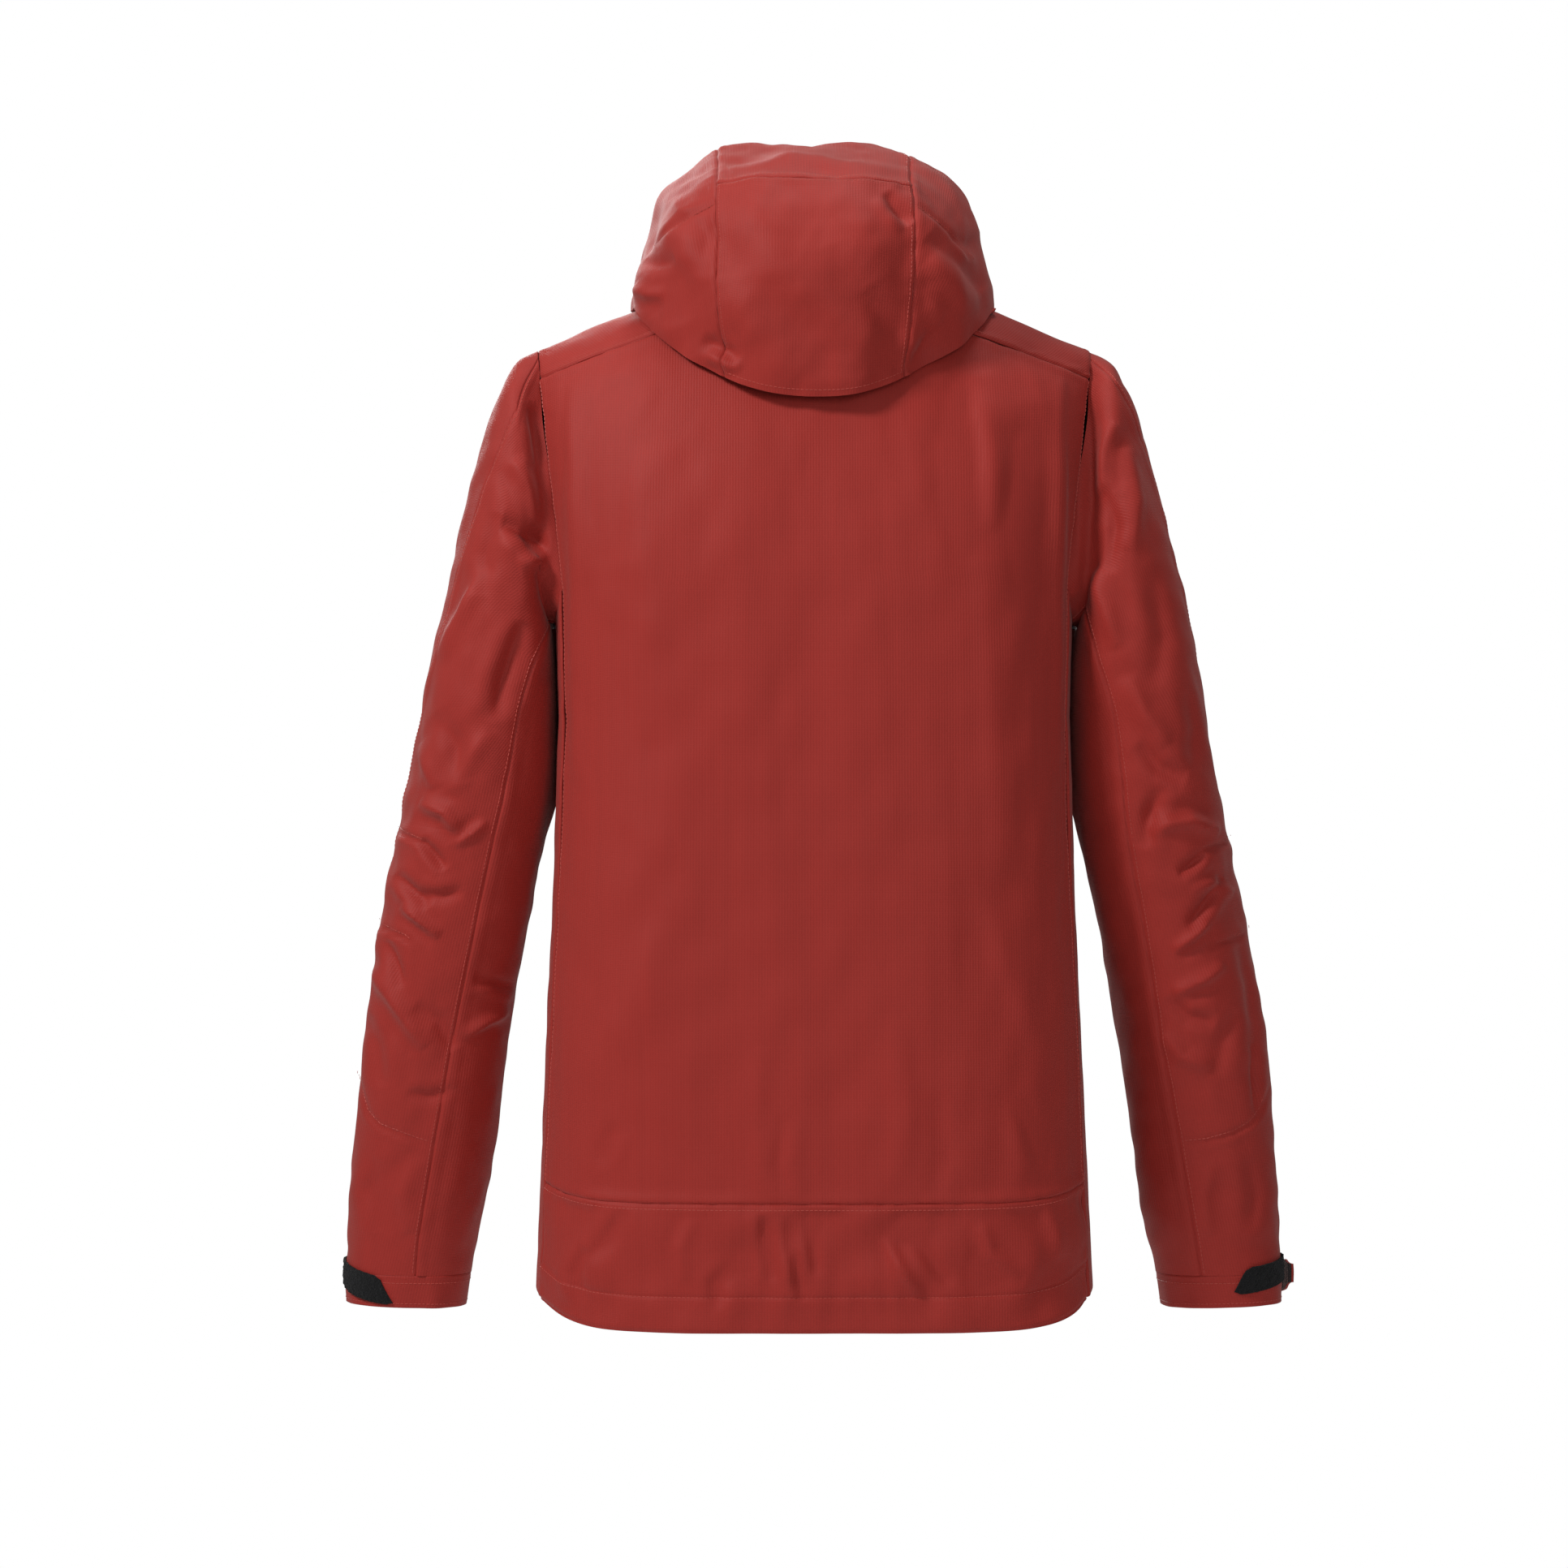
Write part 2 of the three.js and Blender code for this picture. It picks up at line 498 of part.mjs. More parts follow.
// The chin guard: a soft hood over the top of the zip, folded over both collar ends.
const guardTop = COLLAR_TOP_FRONT + 6;
const guard = toSolid(box(-13, 13, -3.4, flapFront + 2.8, guardTop - 9, guardTop)).subtract(
  toSolid(box(-14, 14, -1.6, flapFront + 1.7, guardTop - 10, guardTop - 3.4)),
);
addPiece(zip, "chin_guard", toGeometry(guard), fleece);

// ---- Hand pockets: a zip strip in the panel's slot, slider, pull and bag ----
for (const [side, word] of [[1, "left"], [-1, "right"]]) {
  const pocket = pocketFrame(side);
  jacket.add(pocket);
  const strip = toSolid(box(-POCKET_ZIP_HALF, POCKET_ZIP_HALF, 0.4, 1.6, 0, POCKET_ZIP_LENGTH))
    .add(toSolid(box(-2, 2, -0.9, 0.9, 4, POCKET_ZIP_LENGTH - 2)));
  addPiece(pocket, `pocket_zip_${word}`, toGeometry(strip), zipCloth);
  const sliderShell = toSolid(box(-4, 4, -2.7, 0.1, -SLIDER_HEIGHT, 0))
    .subtract(toSolid(box(-2.3, 2.3, -1.2, 1, -SLIDER_HEIGHT - 1, 1)));
  const bail = toSolid(box(-1.3, 1.3, -2.7 - BAIL_REACH, -2.5, -6.7, -2.3));
  const eyeHole = new THREE.CylinderGeometry(0.95, 0.95, 6, 12).rotateZ(90 * DEGREES);
  const eye = toSolid(eyeHole.translate(0, -2.7 - BAIL_REACH / 2, -4.5));
  const slider = addPiece(pocket, `pocket_slider_${word}`, toGeometry(sliderShell.add(bail).subtract(eye)), metal);
  slider.position.z = POCKET_ZIP_LENGTH - 3;
  const pull = addPiece(pocket, `pocket_pull_${word}`, pullSolid(PULL_LENGTH - 6, 3.4), plastic);
  pull.position.set(0, -2.7 - BAIL_REACH / 2, POCKET_ZIP_LENGTH - 3 - 4.5);

  const bagLow = (angle) => hemHeight(angle) + HEM_TUNNEL_HEIGHT + 40 - UNDERARM_HEIGHT;
  const bagHigh = () => POCKET_ZIP_BOTTOM + POCKET_ZIP_LENGTH + 25 - UNDERARM_HEIGHT;
  const bag = panel(-90 * DEGREES + 38 / UNDERARM_HALF_WIDTH, -42 * DEGREES, bagLow, bagHigh, side);
  addPiece(jacket, `pocket_bag_${word}`, clothPiece(bag, 6, 4, SHELL + LAYER_GAP, LINING_DEPTH - LAYER_GAP), lining);
}

// ---- Hanger loop at the back neck: webbing that stands up in an arch with a flat crest ----
const loopY = NECK_BACK_DEPTH - collarInner - LINING - LOOP_WIDTH / 2 - LOOP_STAND_OFF;
const loopFoot = neckPoint(90 * DEGREES).z - 6;
const loopOutline = new THREE.Shape();
const crest = LOOP_HALF_SPAN / 2;
loopOutline.moveTo(-LOOP_HALF_SPAN - LOOP_THICKNESS, 0);
loopOutline.lineTo(-LOOP_HALF_SPAN, 0);
loopOutline.lineTo(-crest, LOOP_RISE);
loopOutline.lineTo(crest, LOOP_RISE);
loopOutline.lineTo(LOOP_HALF_SPAN, 0);
loopOutline.lineTo(LOOP_HALF_SPAN + LOOP_THICKNESS, 0);
loopOutline.lineTo(crest + 0.8, LOOP_RISE + LOOP_THICKNESS);
loopOutline.lineTo(-crest - 0.8, LOOP_RISE + LOOP_THICKNESS);
const loopArch = new THREE.ExtrudeGeometry(loopOutline, { depth: LOOP_WIDTH, bevelEnabled: false });
loopArch.rotateX(90 * DEGREES).translate(0, LOOP_WIDTH / 2, 0);
const footPad = (x) => toSolid(box(x - 4, x + 4, -LOOP_WIDTH / 2, LOOP_WIDTH / 2 + 0.2, -LOOP_THICKNESS, 0.2));
const loop = toSolid(loopArch).add(footPad(-LOOP_HALF_SPAN)).add(footPad(LOOP_HALF_SPAN));
const hangerLoop = addPiece(jacket, "hanger_loop", toGeometry(loop), plastic);
hangerLoop.position.set(0, loopY, loopFoot);

// ---- Sleeves: rings from the armhole to the cuff, each set by its outer and inner point ----
// [outer x, outer z, inner x, inner z, half depth, middle y]
const SLEEVE_RINGS = [
  [226, 713, 200, 518, 58, 0],
  [243, 675, 199, 510, 64, -1],
  [259, 622, 197.5, 498, 67, -2],
  [274, 555, 196.5, 478, 68, -3],
  [290, 487, 196.5, 445, 66, -5],
  [303, 417, 198, 400, 64, -8],
  [312, 370, 204, 356, 61, -12],
  [325, 300, 217, 288, 57, -20],
  [341, 212, 233, 203, 53, -31],
  [349, 140, 243, 133, 49, -40],
  [356, 62, 257, 57, 45, -48],
  [358, 29, 262, 27, 43, -50],
  [358, 5, 266, 2, 42, -51],
];
const ELBOW_TOP = 7;
const ELBOW_BOTTOM = 8;
const CUFF_SEAM = 12;
const CUFF_END = 13;
const ARCH_SHARE = 130 * DEGREES;
const SLEEVE_POWER = 2.3;
const PATCH = 1;
const PATCH_LIFT = 0.7;
const TAB = 1.8;
const TAB_LIFT = PATCH_LIFT + PATCH + 0.6;

// The armhole edge: round from the shoulder ridge (0) down the back to the underarm (180) and up the front.
function armholePoint(round) {
  const back = Math.sin(round) > 0;
  const fromTop = Math.acos(Math.cos(round));
  if (fromTop < ARCH_SHARE) {
    const turn = 90 * DEGREES * (1 - fromTop / ARCH_SHARE);
    return archPoint(sideFraction, back ? turn : Math.PI - turn);
  }
  const angle = sideSeam * ((Math.PI - fromTop) / (Math.PI - ARCH_SHARE)) * (back ? 1 : -1);
  return bodyPoint(angle, armholeRise(angle));
}

function sleeveRing(index, round) {
  if (index === 0) return armholePoint(round).add(new THREE.Vector3(ARMHOLE_GAP, 0, 0));
  const [outerX, outerZ, innerX, innerZ, halfDepth, middleY] = SLEEVE_RINGS[index - 1];
  const c = Math.cos(round);
  const s = Math.sin(round);
  const radius = (Math.abs(c) ** SLEEVE_POWER + Math.abs(s) ** SLEEVE_POWER) ** (-1 / SLEEVE_POWER);
  const share = (1 + radius * c) / 2;
  return new THREE.Vector3(lerp(innerX, outerX, share), middleY + halfDepth * radius * s, lerp(innerZ, outerZ, share));
}

function sleevePoint(round, along) {
  const index = Math.min(CUFF_END - 1, Math.max(0, Math.floor(along)));
  return sleeveRing(index, round).lerp(sleeveRing(index + 1, round), along - index);
}

// A stretch of sleeve between two ring numbers and two directions round it.
function sleevePatch(from, to, side, round0 = 0, round1 = 2 * Math.PI) {
  return (u, v) => {
    const point = sleevePoint(lerp(round0, round1, side > 0 ? u : 1 - u), lerp(to, from, v));
    return point.setX(side * point.x);
  };
}

const elbowMargin = SEAM_GAP / 70 / 2;
const cuffMargin = SEAM_GAP / 24 / 2;
const AROUND = 20;
const STEP_ROUND = (2 * Math.PI) / AROUND;
const TAB_STEPS = { left: 4, right: 5 };
for (const [side, word] of [[1, "left"], [-1, "right"]]) {
  const upper = sleevePatch(0, ELBOW_TOP - elbowMargin, side);
  addPiece(jacket, `upper_sleeve_${word}`, clothPiece(upper, AROUND, 7, 0, SHELL, true), cloth);
  const elbow = sleevePatch(ELBOW_TOP + elbowMargin, ELBOW_BOTTOM - elbowMargin, side);
  addPiece(jacket, `elbow_section_${word}`, clothPiece(elbow, AROUND, 1, 0, SHELL, true), cloth);
  const forearm = sleevePatch(ELBOW_BOTTOM + elbowMargin, CUFF_SEAM - cuffMargin, side);
  addPiece(jacket, `forearm_sleeve_${word}`, clothPiece(forearm, AROUND, 4, 0, SHELL, true), cloth);
  const cuff = sleevePatch(CUFF_SEAM + cuffMargin, CUFF_END, side);
  addPiece(jacket, `cuff_${word}`, clothPiece(cuff, AROUND, 1, 0, SHELL, true), cloth);
  const patch = sleevePatch(CUFF_SEAM - 0.1, CUFF_END - 0.35, side, -2 * STEP_ROUND, 5 * STEP_ROUND);
  addPiece(jacket, `cuff_patch_${word}`, clothPiece(patch, 7, 1, -PATCH_LIFT - PATCH, -PATCH_LIFT), fleece);
  const tabEnd = (TAB_STEPS[word] - 5) * STEP_ROUND;
  const tab = sleevePatch(CUFF_SEAM - 0.2, CUFF_END - 0.3, side, -5 * STEP_ROUND, tabEnd);
  addPiece(jacket, `cuff_tab_${word}`, clothPiece(tab, TAB_STEPS[word], 1, -TAB_LIFT - TAB, -TAB_LIFT), cloth);
}

// ---- Hood: arches from the face edge (0) over the crown (2) to the lower back edge (5) ----
// Each arch is half of a curve: foot, cheek, crown side and crown, as [x, y, z].
const HOOD_ARCHES = [
  [[34, -102, 702], [120, -118, 790], [84, -116, 872], [0, -120, 873]],
  [[95, -77, 738], [126, -80, 805], [110, -76, 884], [0, -76, 884]],
  [[132, -35, 756.3], [122, -30, 845], [125, -20, 886], [0, -20, 886]],
  [[135, -12, 758.3], [132, 10, 830], [105, 92, 845], [0, 92, 843]],
  [[135, 8, 758.3], [136, 60, 800], [95, 128, 778], [0, 130, 775]],
  [[134, 28, 756], [127, 74, 735], [70, 112, 681], [0, 112, 682]],
];
const PEAK_SEAM = 0.55;
const CROWN_SEAM = 3;
const BROW_ROOM = 2;
const HOOD_END = 5;

function catmull(a, b, c, d, t) {
  const half = (c - a) * t + (2 * a - 5 * b + 4 * c - d) * t * t + (3 * b - a - 3 * c + d) * t ** 3;
  return b + half / 2;
}

// side runs from -1 at the right foot over the crown to 1 at the left foot.
function hoodPoint(side, arch) {
  const index = Math.min(HOOD_END - 1, Math.max(0, Math.floor(arch)));
  const row = (k) => HOOD_ARCHES[Math.min(HOOD_END, Math.max(0, k))];
  const w = 1 - Math.abs(side);
  const weights = [(1 - w) ** 3, 3 * w * (1 - w) ** 2, 3 * w * w * (1 - w), w ** 3];
  const sum = [0, 0, 0];
  for (let axis = 0; axis < 3; axis++)
    for (let k = 0; k < 4; k++) {
      const value = (r) => row(r)[k][axis];
      sum[axis] += weights[k] * catmull(value(index - 1), value(index), value(index + 1), value(index + 2), arch - index);
    }
  return new THREE.Vector3(Math.sign(side) * sum[0], sum[1], sum[2]);
}

const centreEdge = (arch) => lerp(0.25, 0.35, clamp((arch - 2) / 3));
const hoodMargin = SEAM_GAP / 300;
const archMargin = SEAM_GAP / 60;
function hoodCentre(from, to) {
  return (u, v) => {
    const arch = lerp(from, to, v);
    const edge = centreEdge(arch) - hoodMargin;
    return hoodPoint(lerp(-edge, edge, u), arch);
  };
}
const peak = hoodCentre(0, PEAK_SEAM - archMargin);
addPiece(jacket, "hood_peak", clothPiece(peak, 8, 2, 0, SHELL), cloth);
const crown = hoodCentre(PEAK_SEAM, CROWN_SEAM - archMargin);
addPiece(jacket, "hood_crown", clothPiece(crown, 8, 7, 0, SHELL), cloth);
const hoodBack = hoodCentre(CROWN_SEAM, HOOD_END);
addPiece(jacket, "hood_back", clothPiece(hoodBack, 8, 6, 0, SHELL), cloth);
for (const [side, word] of [[1, "left"], [-1, "right"]]) {
  const sidePanel = (u, v) => {
    const arch = lerp(0, HOOD_END, v);
    const inner = centreEdge(arch) + hoodMargin;
    const across = side > 0 ? lerp(inner, 1, u) : -lerp(1, inner, u);
    return hoodPoint(across, arch);
  };
  addPiece(jacket, `hood_side_${word}`, clothPiece(sidePanel, 7, 14, 0, SHELL), cloth);
}

// The elastic band inside the brow, behind the peak, from one cheek over to the other.
const faceEdge = (u, v) => hoodPoint(lerp(-0.9, 0.9, u), lerp(0.72, 0.93, v));
const browDepth = SHELL + BROW_ROOM;
addPiece(jacket, "hood_face_elastic", clothPiece(faceEdge, 20, 1, browDepth, browDepth + LINING), plastic);

// The origin is under the crest of the hanger loop, where a hook bears.
jacket.position.set(0, -loopY, -(loopFoot + LOOP_RISE));
const part = new THREE.Group();
part.add(jacket);

export default part;
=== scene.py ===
import bmesh
import bpy
import numpy as np
from mathutils import Matrix, Vector


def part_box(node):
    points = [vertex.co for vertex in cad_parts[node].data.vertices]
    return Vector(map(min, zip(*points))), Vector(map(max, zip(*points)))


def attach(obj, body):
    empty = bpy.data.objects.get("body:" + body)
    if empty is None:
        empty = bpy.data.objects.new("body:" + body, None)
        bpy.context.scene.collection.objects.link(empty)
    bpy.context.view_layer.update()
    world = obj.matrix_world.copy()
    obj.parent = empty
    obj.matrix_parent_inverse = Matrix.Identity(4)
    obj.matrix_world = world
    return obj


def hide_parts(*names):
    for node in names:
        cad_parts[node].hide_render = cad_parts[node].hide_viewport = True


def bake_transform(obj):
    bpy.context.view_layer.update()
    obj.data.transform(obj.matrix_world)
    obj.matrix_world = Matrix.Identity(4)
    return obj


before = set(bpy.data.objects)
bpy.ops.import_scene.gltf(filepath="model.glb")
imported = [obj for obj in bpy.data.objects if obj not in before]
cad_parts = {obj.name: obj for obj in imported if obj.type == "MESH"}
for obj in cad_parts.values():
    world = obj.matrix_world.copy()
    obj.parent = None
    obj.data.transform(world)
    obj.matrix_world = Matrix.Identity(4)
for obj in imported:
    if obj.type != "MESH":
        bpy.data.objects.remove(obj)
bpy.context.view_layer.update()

# ---- Camera ----
# It looks straight at the jacket's back from a little over three metres, level with the middle of the back,
# through a telephoto lens, so that near and far parts keep their sizes.


def shown(name, data):
    """A new object in the scene that carries that data."""
    made = bpy.data.objects.new(name, data)
    bpy.context.collection.objects.link(made)
    return made


camera = shown("camera", bpy.data.cameras.new("camera"))
camera.location = (0.02265, 3.2326, -0.3707)
camera.rotation_euler = (np.pi / 2, 0, np.pi)
camera.data.lens = 100
camera.data.sensor_width = 36
bpy.context.scene.camera = camera


# ---- Back panel and drop hem band ----
# The back is one wide panel of coated face cloth from the shoulder seams down to the hem band, which hangs
# lower than the front and is joined by a felled seam with a row of topstitching under it. The hem is turned
# up once and stitched; its elastic gathers the cloth a little.
BACK_DEPTH, FRONT_CHEST, FRONT_HEM = 0.120, 0.098, 0.109
WAIST_HALF, CHEST_HALF, HEM_FLARE = 0.190, 0.1925, 0.020
SHOULDER_OUT, ARCH, ARCH_HALF = 0.022, 0.295, 0.2035
WAIST, UNDERARM, RIDGE = 0.450, 0.546, 0.794
SHOULDER_FALL, RIDGE_ROUND = 0.436, 0.060
HEM_STEP, BAND_HEIGHT, HEM_STITCH = 0.025, 0.094, 0.0262
NECK_HALF, NECK_BACK, NECK_FRONT, NECK_EASE = 0.085, 0.065, 0.093, 0.0024
NECK_EDGE = NECK_HALF + NECK_EASE
SIDE_SEAM = np.radians(24)
YOKE_SEAM = np.radians(60)
CLOTH = 0.0019
DEEPEST = 0.0017
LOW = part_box("back_hem_band")[0][2]
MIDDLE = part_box("back_panel")[1][1] - BACK_DEPTH
TO_FRAME = np.array([0, MIDDLE, LOW])


def smooth(x, low, high):
    """0 below low, 1 above high, and 3t^2 - 2t^3 between."""
    t = np.clip((x - low) / (high - low), 0, 1)
    return t * t * (3 - 2 * t)


def unit_radius(angle):
    """Radius of the superellipse of power 3 in a direction: (|cos|^3 + |sin|^3)^(-1/3)."""
    return (np.abs(np.cos(angle)) ** 3 + np.abs(np.sin(angle)) ** 3) ** (-1 / 3)


def half_width(z):
    """190 mm at the waist, flaring in a line to 210 mm at the hem and to 192.5 mm under the arms."""
    above_waist = np.clip((z - WAIST) / (UNDERARM - WAIST), 0, 1)
    return WAIST_HALF + HEM_FLARE * np.clip(1 - z / WAIST, 0, 1) + (CHEST_HALF - WAIST_HALF) * above_waist


def front_depth(z):
    """109 mm in front of the middle at the hem, 98 mm under the arms."""
    return FRONT_HEM - (FRONT_HEM - FRONT_CHEST) * np.clip(z / UNDERARM, 0, 1)


def ridge_height(x):
    """The shoulder line, which falls 0.436 for each step outwards after a rounded top over the neck."""
    return RIDGE - SHOULDER_FALL * (np.hypot(x, RIDGE_ROUND) - RIDGE_ROUND)


def arch_point(across, turn):
    """The chest and shoulders: a superellipse in plan whose depth shrinks as the turn goes from the back of
    the chest (0) over the shoulder line (90 degrees) to the front of the chest (180)."""
    sine = np.sin(turn)
    front = turn > np.pi / 2
    x = across * (CHEST_HALF + SHOULDER_OUT * sine)
    profile = np.clip(1 - np.abs(across) ** 3, 0, 1) ** (1 / 3)
    front_lean = np.clip(1 - sine ** 3, 0, 1) ** (1 / 3)
    y = profile * np.where(front, -FRONT_CHEST * front_lean, BACK_DEPTH * np.cos(turn))
    return np.stack([x, y, UNDERARM + (ridge_height(x) - UNDERARM) * sine], -1)


def body_point(angle, rise):
    """A point of the outer cloth: angle runs from the left side (0) round the back, rise is the distance up
    the cloth from under the arms; below them a superellipse tube, above them the shoulder arch."""
    radius = unit_radius(angle)
    across = radius * np.cos(angle)
    back = np.sin(angle) > 0
    turn = np.clip(rise / ARCH, 0, 1) * np.pi / 2
    above = arch_point(across, np.where(back, turn, np.pi - turn))
    z = UNDERARM + rise
    depth = np.where(back, BACK_DEPTH, front_depth(z))
    below = np.stack([across * half_width(z), radius * np.sin(angle) * depth, z], -1)
    return np.where((rise > 0)[..., None], above, below)


def side_share(angle):
    return np.abs(unit_radius(angle) * np.cos(angle))


def hem_rise(angle):
    """The hem is 25 mm higher at the front and curves up to that height at the sides of the back."""
    return np.where(np.sin(angle) > 0, HEM_STEP * side_share(angle) ** 10, HEM_STEP) - UNDERARM


def band_rise(angle):
    """The seam between back and band, 94 mm up, which curves up 14 mm more at the sides."""
    return BAND_HEIGHT + 0.014 * side_share(angle) ** 10 - UNDERARM


def angle_of(points):
    """About the angle at which a point of the back stands."""
    return np.arctan2(points[..., 1] / 0.12, points[..., 0] / 0.2)


def neck_limited(angle, neck_depth, depth, power):
    """How far up the arch a panel goes: to the yoke seam, or to the oval neckline near the middle."""
    x = unit_radius(angle) * np.cos(angle) * ARCH_HALF
    hole = np.clip(1 - (x / NECK_EDGE) ** 2, 1e-9, 1)
    along = np.abs(unit_radius(angle) * np.sin(angle))
    share = np.clip((neck_depth + NECK_EASE) * np.sqrt(hole) / (along * depth), 0, 1)
    reach = np.arcsin(np.clip(1 - share ** power, 0, 1) ** (1 / power))
    return np.where(np.abs(x) < NECK_EDGE, np.minimum(YOKE_SEAM, reach), YOKE_SEAM) / (np.pi / 2) * ARCH


def back_top(angle):
    return neck_limited(angle, NECK_BACK, BACK_DEPTH, 2)


def front_top(angle):
    return neck_limited(angle, NECK_FRONT, FRONT_CHEST, 3)


def panel(start, end, low, high, side=1):
    """A panel between two angles and two rises; side -1 mirrors it to the wearer's right."""
    def surface(u, v):
        angle = start + (end - start) * (u if side > 0 else 1 - u)
        turned = angle if side > 0 else np.pi - angle
        bottom, top = low(angle), high(angle)
        return body_point(turned, bottom + (top - bottom) * v)
    return surface


def steps(length, cell):
    """Shares from 0 to 1 along an edge of that length: close together near both ends, where seams are."""
    near = np.array([0, 0.0006, 0.0013, 0.0021, 0.003, 0.0042, 0.0058, 0.008]) / length
    count = max(2, int((length - 0.016) / cell))
    return np.concatenate([near[:-1], np.linspace(near[-1], 1 - near[-1], count), 1 - near[-2::-1]])


def crumple(points, size, seed):
    """Soft unevenness: the sum of a dozen sine waves about that long in seeded directions, each bent by a
    longer one, divided so that it seldom passes 1."""
    rng = np.random.default_rng(seed)
    total = 0
    for _ in range(12):
        wave = rng.normal(size=3)
        wave *= 2 * np.pi / size * rng.uniform(0.7, 1.4) / np.linalg.norm(wave)
        bend = rng.normal(size=3) * 2 * np.pi / size * 0.3
        total = total + np.sin(points @ wave + rng.uniform(0, 6.28) + 1.1 * np.sin(points @ bend))
    return total / 5


def crease(x, z, path, width, height, lean=0.6):
    """One crease along a path in millimetres: a bell across it, e^(-s^2) with s the distance over the
    width, steeper on one side by the lean, with a shallow hollow beside it, fading out at both ends."""
    path = np.array(path, float) / 1000
    lengths = np.linalg.norm(np.diff(path, axis=0), axis=1)
    start = np.concatenate([[0], np.cumsum(lengths)])
    best = np.full(x.shape, 1e9)
    s = np.zeros(x.shape)
    t = np.zeros(x.shape)
    for a, b, length, begin in zip(path[:-1], path[1:], lengths, start):
        way = (b - a) / length
        along = np.clip((x - a[0]) * way[0] + (z - a[1]) * way[1], 0, length)
        dx, dz = x - a[0] - way[0] * along, z - a[1] - way[1] * along
        distance = np.hypot(dx, dz)
        nearer = distance < best
        best = np.where(nearer, distance, best)
        s = np.where(nearer, np.sign(way[0] * dz - way[1] * dx) * distance, s)
        t = np.where(nearer, (begin + along) / start[-1], t)
    s = s / (width / 1000)
    bell = np.exp(-s * s * np.where(s > 0, 1 + lean, 1 - 0.5 * lean)) - 0.3 * np.exp(-((s - 2.1) ** 2))
    return height / 1000 * bell * np.sin(np.pi * np.clip(t, 0, 1)) ** 0.6


def creases(x, z, folds, wider=1.0, higher=1.0):
    """Several creases added up, each given as (path, width, height), with their sizes scaled."""
    return sum(crease(x, z, path, wider * width, higher * height) for path, width, height in folds)


def seam_edge(distance, along, pucker, seed):
    """Cloth beside a seam: it turns down into the seam over the last millimetre, lies a little proud over
    the turned-in allowance for 7 mm, and puckers along the stitching."""
    waves = crumple(np.stack([along, 0 * along, 0 * along], -1), 0.016, seed)
    fold = -0.0010 * np.exp(-((distance / 0.0012) ** 2))
    allowance = 0.0005 * (1 - smooth(distance, 0.005, 0.008))
    return fold + allowance + pucker * waves * np.exp(-((distance / 0.012) ** 2))


